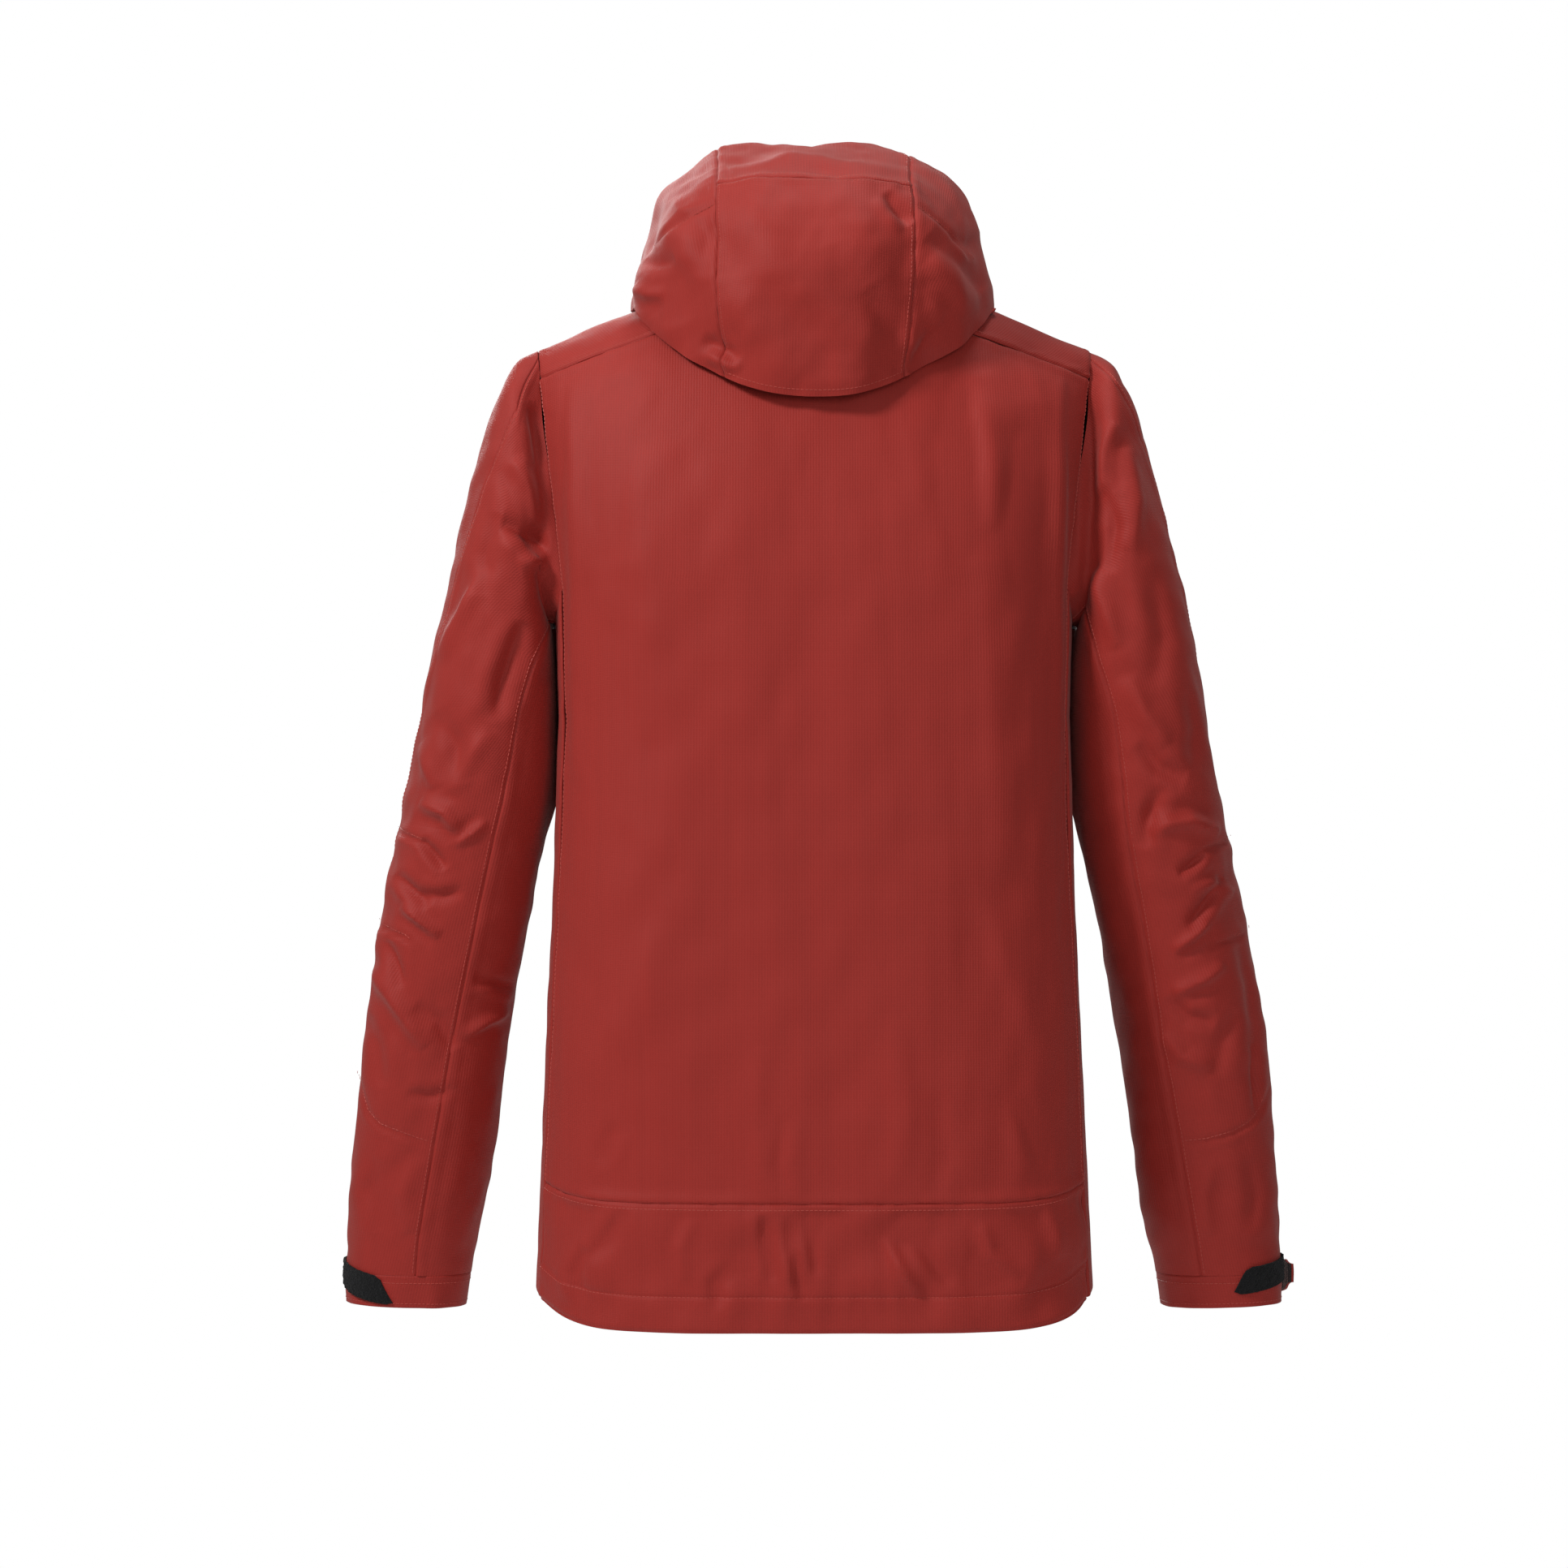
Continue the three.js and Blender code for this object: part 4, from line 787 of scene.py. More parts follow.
lining_finish = woven("smooth dark lining", (0.028, 0.030, 0.034), pitch=0.0018, ribs=0.16, sheen=0.15,
                      rough=0.5)
lining_cloth("lining_back_cloth", panel(BACK_START, np.pi - BACK_START, lining_low, below_collar(back_top)),
             (0.46, 0.66), ["lining_back"], 70)
for side, word in side_words:
    lining_cloth(f"lining_front_cloth_{word}",
                 panel(-np.pi / 2 + FACING_EDGE / CHEST_HALF, FRONT_END, lining_low,
                       below_collar(front_top), side),
                 (0.21, 0.62), [f"lining_front_{word}"], 72 + side)
    lining_cloth(f"lining_side_cloth_{word}",
                 panel(-SIDE_SEAM + seam_gap, SIDE_SEAM - seam_gap, lining_low, armhole_rise, side),
                 (0.10, 0.48), [f"lining_side_{word}"], 76 + side)
    lining_cloth(f"pocket_bag_cloth_{word}",
                 panel(-np.pi / 2 + LOCK_EDGE / CHEST_HALF, np.radians(-42), lambda a: hem_rise(a) + 0.066,
                       lambda a: 0.390 - UNDERARM + 0 * a, side),
                 (0.15, 0.30), [f"pocket_bag_{word}"], 80 + side, 0.0032, "")

TUNNEL_START = -np.pi / 2 + LOCK_EDGE / CHEST_HALF
TUNNEL_END = 3 * np.pi / 2 - LOCK_EDGE / CHEST_HALF


def hem_tunnel(u, v):
    """Round the inside of the hem between the two cord locks, 2 to 26 mm above the edge."""
    angle = TUNNEL_START + (TUNNEL_END - TUNNEL_START) * u
    return body_point(angle, hem_rise(angle) + 0.002 + 0.024 * v)


facing = Sheet(hem_tunnel, np.linspace(0, 1, 220), np.linspace(0, 1, 9),
               soft_relief(84, 0.0003, 0.0003, 0.03), depth=0.0062)
facing_stitches = stitches("hem_facing_stitches", [row_line(facing, 7)])
hang(facing.mesh("hem_facing_cloth", lining_finish, None, LINING), "jacket", facing, ["hem_facing"],
     [facing_stitches])


def tube(name, path, radius, rows, finish):
    """A round cord along a path of points: a circle of that radius square to the path at each of them."""
    along = np.gradient(path, axis=0)
    along /= np.linalg.norm(along, axis=-1, keepdims=True)
    side = np.cross(along, [0, 0, 1])
    side /= np.linalg.norm(side, axis=-1, keepdims=True)
    up = np.cross(side, along)
    turn = np.linspace(0, 2 * np.pi, rows, endpoint=False)
    ring = (path[:, None] + radius * (np.cos(turn)[None, :, None] * side[:, None]
                                      + np.sin(turn)[None, :, None] * up[:, None]))
    count = len(path)
    index = np.arange(count * rows).reshape(count, rows)
    after = np.roll(index, -1, 1)
    faces = np.stack([index[:-1], after[:-1], after[1:], index[1:]], -1).reshape(-1, 4).tolist()
    faces += [index[0, ::-1].tolist(), index[-1].tolist()]
    mesh = bpy.data.meshes.new(name)
    mesh.from_pydata(ring.reshape(-1, 3), [], faces)
    mesh.polygons.foreach_set("use_smooth", np.ones(len(faces), bool))
    mesh.materials.append(finish)
    return shown(name, mesh)


def moulded(name, colour, rough=0.42, grain=500, depth=0.00008):
    """Moulded or cast finish: a fine even grain in the gloss and the surface, on the piece's own place."""
    finish = Finish(name)
    place = finish.node("TexCoord", output=3)
    grit = finish.noise(place, grain, 3.0, 0.6)
    cloud = finish.noise(place, 60, 2.0)
    shade = finish.blend_colours(cloud, [0.75 * c for c in colour], [1.3 * c for c in colour])
    return finish.surface(shade, grit * 0.16 + (rough - 0.08), grit, depth, 0.5)


def braided(name, colour, pitch=0.0016):
    """Braided elastic or webbing: two sets of slanting ribs that cross, on the piece's own place."""
    finish = Finish(name)
    place = finish.node("SeparateXYZ", {}, {0: finish.node("TexCoord", output=3)})
    x, y, z = (Value(finish, place.socket.node.outputs[k]) for k in range(3))
    one = ((x + z + y) * (2 * np.pi / pitch)).sine()
    two = ((x - z - y) * (2 * np.pi / pitch)).sine()
    shade = finish.blend_colours(one * two * 0.4 + 0.5, [0.6 * c for c in colour], [1.5 * c for c in colour])
    return finish.surface(shade, one * 0.05 + 0.7, one * two, 0.0002, 0.6, Sheen_Weight=0.15)


elastic_finish = braided("black braided elastic", (0.014, 0.014, 0.015))
plastic_finish = moulded("black moulded plastic", (0.016, 0.016, 0.018))
turns = np.linspace(TUNNEL_START + 0.002, TUNNEL_END - 0.002, 260)
cord_path = body_point(turns, hem_rise(turns) + 0.011)
inward = np.stack([cord_path[:, 0] / 0.2 ** 2, cord_path[:, 1] / 0.115 ** 2, 0 * turns], -1)
cord_path = cord_path - inward / np.linalg.norm(inward, axis=-1, keepdims=True) * 0.0042
cord = tube("hem_elastic_round", cord_path + TO_FRAME, 0.0012, 10, elastic_finish)
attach(cord, "jacket")
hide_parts("hem_elastic")


def repaint(node, finish):
    """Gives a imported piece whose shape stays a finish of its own."""
    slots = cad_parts[node].material_slots
    for one in slots:
        one.link = "OBJECT"
        one.material = finish


for _, word in side_words:
    repaint(f"hem_cord_lock_{word}", plastic_finish)
    repaint(f"hem_cord_button_{word}", plastic_finish)

# ---- Collar and chin guard ----
# The stand-up collar under the hood: face cloth outside, brushed fleece inside, with a fleece garage folded
# over the top of the zip so that the slider doesn't touch the chin.


COLLAR_FRONT = 0.775


def neck_point(angle):
    """The neckline oval, 85 mm to each side, 65 mm back and 93 mm forward, on the body's surface."""
    back = np.sin(angle) > 0
    x, y = NECK_HALF * np.cos(angle), np.where(back, NECK_BACK, NECK_FRONT) * np.sin(angle)
    profile = (1 - np.abs(x / (CHEST_HALF + SHOULDER_OUT)) ** 3) ** (1 / 3)
    depth = np.where(back, BACK_DEPTH, FRONT_CHEST) * profile
    share = np.clip(np.abs(y) / depth, 0, 1)
    sine = np.where(back, np.sqrt(1 - share ** 2), (1 - share ** 3) ** (1 / 3))
    return x, y, UNDERARM + (ridge_height(x) - UNDERARM) * sine


def collar_surface(end, below):
    def surface(u, v):
        """Straight up from the neckline to a rim that is 815 mm high at the back and 775 mm at the front."""
        angle = -end + (np.pi + 2 * end) * u
        x, y, foot = neck_point(angle)
        top = COLLAR_FRONT + 0.040 * (1 + np.sin(angle)) / 2
        return np.stack([x, y, foot - below + (top - foot + below) * v], -1)
    return surface


fleece_finish = woven("brushed black fleece", (0.020, 0.021, 0.023), pitch=0.003, ribs=0.05, sheen=0.6,
                      rough=0.9, depth=0.0005)
collar_end = np.pi / 2 - zip_angle * CHEST_HALF / NECK_HALF
collar = Sheet(collar_surface(collar_end, 0.006), steps(0.50, 0.0035), steps(0.10, 0.0035),
               soft_relief(90, 0.0004, 0.0002, 0.04), seams="lrt", seed=91)
collar_stitches = stitches("collar_stitches", [row_line(collar, -6)])
hang(collar.shell("collar_cloth"), "jacket", collar, ["collar"],
     [collar_stitches])
collar_inside = Sheet(collar_surface(np.pi / 2 - FACING_EDGE / NECK_HALF, 0.008), steps(0.48, 0.004),
                      steps(0.10, 0.004), soft_relief(92, 0.0002, 0.0002, 0.03), depth=0.0031)
hang(collar_inside.mesh("collar_fleece", fleece_finish, None, 0.0012), "jacket", collar_inside,
     ["collar_lining"])


ZIP_LEAN = np.arctan((FRONT_HEM - NECK_FRONT - 0.001) / (COLLAR_FRONT - 0.095))


def beside_zip(x, y, z):
    """A point x across, y behind and z up the line of the zip, which leans back with the fronts."""
    c, s = np.cos(ZIP_LEAN), np.sin(ZIP_LEAN)
    return np.stack(np.broadcast_arrays(x, y * c + z * s - FRONT_HEM, z * c - y * s), -1)


def guard_surface(u, v):
    """A squarish arch over the zip's top, from the front of the collar to the back of the flap."""
    turn = np.pi * (1 - v)
    y = 0.0043 + 0.0075 * np.sign(np.cos(turn)) * np.abs(np.cos(turn)) ** 0.5
    z = 0.7722 + 0.0085 * np.abs(np.sin(turn)) ** 0.5
    return beside_zip(0.013 * (2 * u - 1), y, z)


guard = Sheet(guard_surface, steps(0.026, 0.002), np.linspace(0.001, 0.999, 41),
              soft_relief(95, 0.0001, 0.0001, 0.02))
guard_stitches = stitches("chin_guard_stitches", [row_line(guard, 3)])
hang(guard.mesh("chin_guard_fleece", fleece_finish, None, 0.0014), "jacket", guard, ["chin_guard"],
     [guard_stitches])

# ---- Main zip and storm flap ----
# A two-row zip on woven tape from the hem to the chin. Its slider carries a long moulded pull, and a flap of
# thin cloth behind it, sewn in on the left, keeps wind and water out.
ZIP_LOW, ZIP_HIGH = 0.030, 0.770
tape_finish = woven("red zip tape", (0.24, 0.026, 0.022), pitch=0.0012, ribs=0.22, sheen=0.1, rough=0.55)
metal_finish = moulded("dark lacquered zinc", (0.055, 0.057, 0.062), rough=0.3, grain=900)


def teeth(name, place, rows, body, finish, stands_for):
    """Many equal teeth: for each row of (left, right, front, back, low, high), bars 1.3 mm high every 2 mm,
    eight-sided in section; place turns their points into the jacket's."""
    angle = np.linspace(0, 2 * np.pi, 8, endpoint=False) + np.pi / 8
    points, faces = [], []
    for left, right, front, back, low, high in rows:
        heights = np.arange(low + 0.001, high - 0.0005, 0.002)
        y = (front + back) / 2 + (back - front) / 2 * np.cos(angle) / np.cos(np.pi / 8)
        z = 0.00075 * np.sin(angle)
        for x in (left, right):
            ring = np.stack(np.broadcast_arrays(x, y[None], heights[:, None] + z[None]), -1)
            points.append(ring)
    for k in range(0, len(points), 2):
        pair = np.concatenate([points[k], points[k + 1]], 1)
        first = sum(p.shape[0] * 16 for p in points[:k:2])
        for n in range(pair.shape[0]):
            at = first + n * 16
            faces.append([at + i for i in range(8)])
            faces.append([at + 15 - i for i in range(8)])
            faces += [[at + (i + 1) % 8, at + i, at + 8 + i, at + 8 + (i + 1) % 8] for i in range(8)]
        points[k] = pair
    flat = np.concatenate([p.reshape(-1, 3) for p in points[::2]])
    mesh = bpy.data.meshes.new(name)
    mesh.from_pydata(place(flat), [], faces)
    mesh.polygons.foreach_set("use_smooth", np.zeros(len(faces), bool))
    mesh.materials.append(finish)
    made = shown(name, mesh)
    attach(made, body)
    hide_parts(*stands_for)


def zip_place(points):
    return beside_zip(points[:, 0], points[:, 1], points[:, 2]) + TO_FRAME


for side, word in side_words:
    def tape_surface(u, v, side=side):
        x = 0.00345 + 0.0107 * (u if side > 0 else 1 - u)
        return beside_zip(side * x, 0.0053 + 0 * u, ZIP_LOW + (ZIP_HIGH - ZIP_LOW) * v)
    tape = Sheet(tape_surface, np.linspace(0, 1, 8), np.linspace(0, 1, 180),
                 soft_relief(97, 0.0001, 0.0001, 0.02))
    tape_stitches = stitches(f"zip_tape_stitches_{word}", [column_line(tape, 1), column_line(tape, 6)])
    hang(tape.mesh(f"zip_tape_cloth_{word}", tape_finish, None, 0.0009), "jacket", tape,
         [f"main_zip_tape_{word}"], [tape_stitches])
    near, far = (0.00075, 0.00315) if side > 0 else (-0.00315, -0.00075)
    teeth(f"zip_teeth_{word}", zip_place, [(near, far, 0.0037, 0.0063, 0.042, 0.768)], "jacket",
          plastic_finish, [f"main_zip_coil_{word}"])


def flap_surface(u, v):
    """A flat strip behind the zip whose left edge turns forward to its seam."""
    x = -0.017 + 0.034 * u
    y = 0.0093 - 0.0033 * smooth(x, 0.0145, 0.0168)
    return beside_zip(x, y, ZIP_LOW + (ZIP_HIGH - ZIP_LOW) * v)


flap = Sheet(flap_surface, np.linspace(0, 1, 30), np.linspace(0, 1, 180),
             soft_relief(98, 0.0002, 0.0001, 0.03))
flap_stitches = stitches("storm_flap_stitches", [column_line(flap, 2)])
hang(flap.mesh("storm_flap_cloth", lining_finish, None, 0.0011), "jacket", flap, ["storm_flap"],
     [flap_stitches])
for node in ("main_zip_slider", "main_zip_stop_box"):
    repaint(node, metal_finish)
repaint("main_zip_pull", plastic_finish)

# ---- Hand pocket zips ----
# Each pocket's zip lies flush in its slot: a strip of tape with a raised row of teeth, a small slider and a
# moulded pull.
for side, word in side_words:
    foot, turn = pocket_turn(side)
    turn = np.array(turn)[:3, :3]

    def strip_surface(u, v, foot=np.array(foot), turn=turn):
        x, z = 0.0067 * (2 * u - 1), POCKET_LENGTH * v
        flat = np.stack(np.broadcast_arrays(x, 0.0005 + 0 * u, z), -1)
        return flat @ turn.T + foot - TO_FRAME
    strip = Sheet(strip_surface, np.linspace(0, 1, 12), np.linspace(0, 1, 60),
                  soft_relief(99, 0.0001, 0.0001, 0.02))
    strip_stitches = stitches(f"pocket_zip_stitches_{word}", [column_line(strip, 1), column_line(strip, 10)])
    hang(strip.mesh(f"pocket_zip_tape_{word}", tape_finish, None, 0.001), "jacket", strip,
         [f"pocket_zip_{word}"], [strip_stitches])

    def pocket_place(points, foot=np.array(foot), turn=turn):
        return points @ turn.T + foot
    teeth(f"pocket_zip_teeth_{word}", pocket_place, [(-0.0019, 0.0019, -0.0009, 0.0007, 0.004, 0.158)],
          "jacket", plastic_finish, [])
    repaint(f"pocket_slider_{word}", metal_finish)
    repaint(f"pocket_pull_{word}", plastic_finish)

# ---- Hanger loop ----
# A strip of flat webbing inside the back of the neck, bar-tacked at both feet, standing up in an arch.
LOOP_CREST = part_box("hanger_loop")[1][2] - LOW
LOOP_Y = (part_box("hanger_loop")[0][1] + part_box("hanger_loop")[1][1]) / 2 - MIDDLE


def loop_surface(u, v):
    """Up from one foot, 24 mm level across the top, and down to the other."""
    x = -0.0256 + 0.0512 * v
    rise = np.clip((0.0252 - np.abs(x)) / 0.0126, 0, 1)
    drop = 0.022 * (1 - rise)
    y = LOOP_Y + 0.004 * (1 - 2 * u)
    return np.stack(np.broadcast_arrays(x, y, LOOP_CREST - drop), -1)


loop = Sheet(loop_surface, np.linspace(0, 1, 9), np.linspace(0, 1, 60),
             soft_relief(100, 0.00005, 0.00005, 0.01))
loop_stitches = stitches("hanger_stitches", [row_line(loop, 3), row_line(loop, 5), row_line(loop, -4),
                                             row_line(loop, -6)], spacing=0.0012, length=0.001)
webbing_finish = braided("black webbing", (0.016, 0.016, 0.018), pitch=0.0022)
hang(loop.mesh("hanger_webbing", webbing_finish, None, 0.0016), "jacket", loop, ["hanger_loop"],
     [loop_stitches])

# ---- Sleeves ----
# Two-piece sleeves: one seam runs from the shoulder down the outside, the other from under the arm down the
# back of the sleeve to the cuff. Darts shape the elbow and a curved seam crosses the outer forearm. They hang
# bent at the shoulder and the elbow, so the cloth carries folds that run across and round the arm there.
RINGS = np.array([
    [226, 713, 200, 518, 58, 0], [243, 675, 199, 510, 64, -1], [259, 622, 197.5, 498, 67, -2],
    [274, 555, 196.5, 478, 68, -3], [290, 487, 196.5, 445, 66, -5], [303, 417, 198, 400, 64, -8],
    [312, 370, 204, 356, 61, -12], [325, 300, 217, 288, 57, -20], [341, 212, 233, 203, 53, -31],
    [349, 140, 243, 133, 49, -40], [356, 62, 257, 57, 45, -48], [358, 29, 262, 27, 43, -50],
    [358, 5, 266, 2, 42, -51]]) / 1000
ELBOW_RING, CUFF_RING, CUFF_END = 7, 12, 13
RING_NUMBERS = np.arange(len(RINGS) + 1)
ARMHOLE_TOP = np.radians(130)


def armhole_point(turn):
    """Round the armhole: from the shoulder (0) down the back to the underarm (pi) and up the front."""
    back = np.sin(turn) > 0
    fall = np.arccos(np.cos(turn))
    edge = unit_radius(np.array(SIDE_SEAM)) * np.cos(SIDE_SEAM)
    lift = np.pi / 2 * (1 - np.clip(fall / ARMHOLE_TOP, 0, 1))
    high = arch_point(edge + 0 * turn, np.where(back, lift, np.pi - lift))
    angle = SIDE_SEAM * np.clip((np.pi - fall) / (np.pi - ARMHOLE_TOP), 0, 1) * np.where(back, 1, -1)
    low = body_point(angle, armhole_rise(angle))
    return np.where((fall < ARMHOLE_TOP)[..., None], high, low) + np.array([-0.0004, 0, 0])


def ring_radius(turn):
    """Radius of the superellipse of power 2.3, the section of the sleeve."""
    return (np.abs(np.cos(turn)) ** 2.3 + np.abs(np.sin(turn)) ** 2.3) ** (-1 / 2.3)


def ring_points(turn):
    """The sleeve's rings at each turn, from the outer point to the inner one."""
    c, s, radius = np.cos(turn), np.sin(turn), ring_radius(turn)
    share = (1 + radius * c) / 2
    rings = [armhole_point(turn)]
    for outer_x, outer_z, inner_x, inner_z, half, middle in RINGS:
        rings.append(np.stack([inner_x + (outer_x - inner_x) * share, middle + half * radius * s,
                               inner_z + (outer_z - inner_z) * share], -1))
    return np.stack(rings)


def along_curve(rows, at):
    """A smooth curve through rows of points: the Catmull-Rom blend of the four rows round each place."""
    last = len(rows) - 1
    index = np.clip(np.floor(at).astype(int), 0, last - 1)
    t = (at - index)[..., None]
    pick = [np.take_along_axis(rows, np.clip(index + k, 0, last)[None, ..., None], 0)[0]
            for k in (-1, 0, 1, 2)]
    a, b, c, d = pick
    bent = (c - a) * t + (2 * a - 5 * b + 4 * c - d) * t ** 2 + (3 * b - a - 3 * c + d) * t ** 3
    return b + bent / 2


def seam_turns(path, first, last):
    """The turn at which a seam's path, in millimetres across and up, crosses each ring on its back half."""
    path = np.array(path, float) / 1000
    turns = [first]
    for outer_x, outer_z, inner_x, inner_z, *_ in RINGS:
        way = np.array([outer_x - inner_x, outer_z - inner_z])
        away = (path[:, 0] - inner_x) * way[1] - (path[:, 1] - inner_z) * way[0]
        hit = np.nonzero(np.sign(away[:-1]) != np.sign(away[1:]))[0]
        if len(hit) == 0:
            turns.append(None)
            continue
        k = hit[0]
        point = path[k] + (path[k + 1] - path[k]) * away[k] / (away[k] - away[k + 1])
        share = np.clip((point - [inner_x, inner_z]) @ way / (way @ way), 0.02, 0.985)
        c = np.linspace(0, np.pi, 721)
        turns.append(float(c[np.argmin(np.abs((1 + ring_radius(c) * np.cos(c)) / 2 - share))]))
    turns[-1] = last if turns[-1] is None else turns[-1]
    known = [k for k, t in enumerate(turns) if t is not None]
    return np.interp(np.arange(len(turns)), known, [turns[k] for k in known])


SLEEVES = {
    "left": {
        "outer": [(212, 700), (218, 683), (230, 659), (238, 640), (247, 619), (260, 590), (271, 550),
                  (281, 508)],
        "under": [(190, 545), (200, 518), (207, 496), (215, 471), (221, 443), (226, 413), (232, 377),
                  (240, 355), (244, 330), (251, 301), (257, 272), (264, 242), (272, 197), (286, 128),
                  (294, 93), (299, 51), (303, 4)],
        "forearm": [(350, 186), (343, 169), (337, 151), (327, 141), (310, 135), (296, 130), (286, 127)],
        "darts": [[(318, 366), (306, 361), (288, 354)], [(333, 297), (324, 291), (306, 284), (300, 279)]],
        "folds": [
            ([(296, 386), (286, 382), (275, 378), (263, 362)], 7, 3.4),
            ([(294, 358), (286, 349), (275, 336)], 5, -3.0),
            ([(312, 332), (303, 322), (288, 308)], 5.5, -3.2),
            ([(309, 308), (297, 300), (280, 286)], 5, 3.0),
            ([(333, 262), (318, 240), (292, 202)], 8, 3.0),
            ([(321, 284), (316, 268), (309, 248)], 5, -2.6),
            ([(244, 372), (254, 364), (268, 354)], 5, 2.4),
            ([(254, 254), (240, 250), (222, 244)], 5, -2.4),
            ([(262, 210), (246, 220), (228, 228)], 5.5, 2.6),
            ([(232, 594), (212, 584), (190, 570)], 9, -4.2),
            ([(186, 573), (200, 568), (220, 562)], 7, 3.4),
            ([(215, 520), (231, 476), (236, 448)], 9, -3.4),
            ([(247, 560), (262, 527), (281, 494)], 8, 3.0),
            ([(202, 472), (194, 486), (186, 496)], 7, -3.4),
            ([(284, 452), (268, 430), (262, 400)], 11, -2.6),
            ([(300, 430), (290, 412), (284, 396)], 8, 2.4),
            ([(240, 440), (256, 420), (270, 392)], 9, 2.4),
            ([(262, 320), (278, 316), (296, 318)], 6, -2.2),
            ([(300, 232), (282, 222), (270, 200)], 8, -2.2),
            ([(338, 226), (330, 200), (326, 172)], 8, -2.0), ([(300, 120), (310, 90), (306, 60)], 9, 1.4),
            ([(330, 118), (336, 92), (330, 62)], 8, -1.4), ([(222, 640), (212, 618), (206, 590)], 8, 3.0),
            ([(236, 600), (246, 570), (250, 540)], 10, -2.0),
            ([(212, 682), (206, 660), (203, 636)], 6, -2.6),
            ([(270, 172), (288, 165), (306, 168)], 6, -1.6)],
        "tuck": -3.0},
    "right": {
        "outer": [(221, 704), (227, 688), (237, 672), (244, 659), (256, 629), (263, 610), (270, 569),
                  (281, 520)],
        "under": [(196, 540), (204, 526), (210, 495), (219, 466), (224, 436), (231, 385), (234, 356),
                  (239, 331), (245, 298), (248, 275), (253, 250), (260, 206), (269, 176), (274, 132),
                  (281, 92), (286, 69), (291, 45), (295, 4)],
        "forearm": [(345, 176), (340, 163), (336, 152), (328, 143), (316, 136), (295, 130), (276, 128)],
        "darts": [[(322, 361), (312, 356), (286, 349)], [(334, 291), (324, 285), (296, 277)]],
        "folds": [
            ([(248, 364), (262, 371), (280, 373), (304, 364)], 7, 3.4),
            ([(292, 348), (282, 340), (271, 333)], 5, -3.0),
            ([(310, 330), (297, 315), (279, 292)], 6, -3.2),
            ([(295, 297), (283, 286), (268, 275)], 5, 3.0),
            ([(308, 264), (292, 254), (268, 244)], 6, 2.8),
            ([(322, 286), (330, 250), (333, 198)], 7, -2.6),
            ([(330, 205), (332, 180), (333, 150)], 4, -2.4),
            ([(260, 398), (250, 380), (246, 352)], 8, -2.6),
            ([(214, 620), (222, 590), (216, 556)], 10, -3.4),
            ([(232, 650), (238, 610), (232, 572)], 11, 2.6),
            ([(205, 560), (216, 530), (224, 500)], 9, 3.0),
            ([(250, 560), (258, 510), (252, 470)], 12, -2.4),
            ([(232, 480), (244, 452), (262, 430)], 10, 2.8),
            ([(276, 470), (284, 440), (282, 410)], 9, -2.2),
            ([(240, 430), (256, 412), (276, 404)], 8, -2.6),
            ([(264, 240), (280, 226), (300, 222)], 7, -2.4),
            ([(262, 214), (276, 196), (298, 188)], 8, 2.4),
            ([(318, 230), (306, 206), (302, 180)], 9, -1.8), ([(300, 116), (294, 88), (298, 58)], 9, 1.4),
            ([(328, 116), (334, 88), (330, 60)], 8, -1.4), ([(222, 668), (214, 644), (212, 616)], 7, 2.8),
            ([(280, 322), (300, 326), (318, 318)], 6, 2.0), ([(236, 700), (240, 680), (248, 660)], 6, 1.6)],
        "tuck": -7.0},
}
FRONT_FOLDS = [
    ([(300, 400), (270, 388), (240, 396)], 9, -3.4), ([(305, 372), (270, 358), (232, 366)], 8, 3.0),
    ([(312, 344), (282, 330), (240, 338)], 8, -3.6), ([(318, 320), (286, 304), (248, 312)], 7, 3.0),
    ([(322, 290), (296, 280), (250, 286)], 8, -3.0), ([(330, 256), (300, 244), (262, 252)], 8, 2.4),
    ([(236, 660), (228, 600), (236, 540)], 13, -3.0), ([(216, 620), (208, 570), (214, 520)], 9, 3.0),
    ([(256, 580), (262, 530), (256, 480)], 13, 2.4), ([(230, 500), (246, 460), (262, 440)], 10, -2.6),
    ([(300, 200), (312, 160), (306, 110)], 11, 1.8), ([(280, 190), (292, 140), (286, 90)], 9, -1.8)]


TUCK_LINE = [(206, 716), (202, 640), (200, 580), (198, 530)]


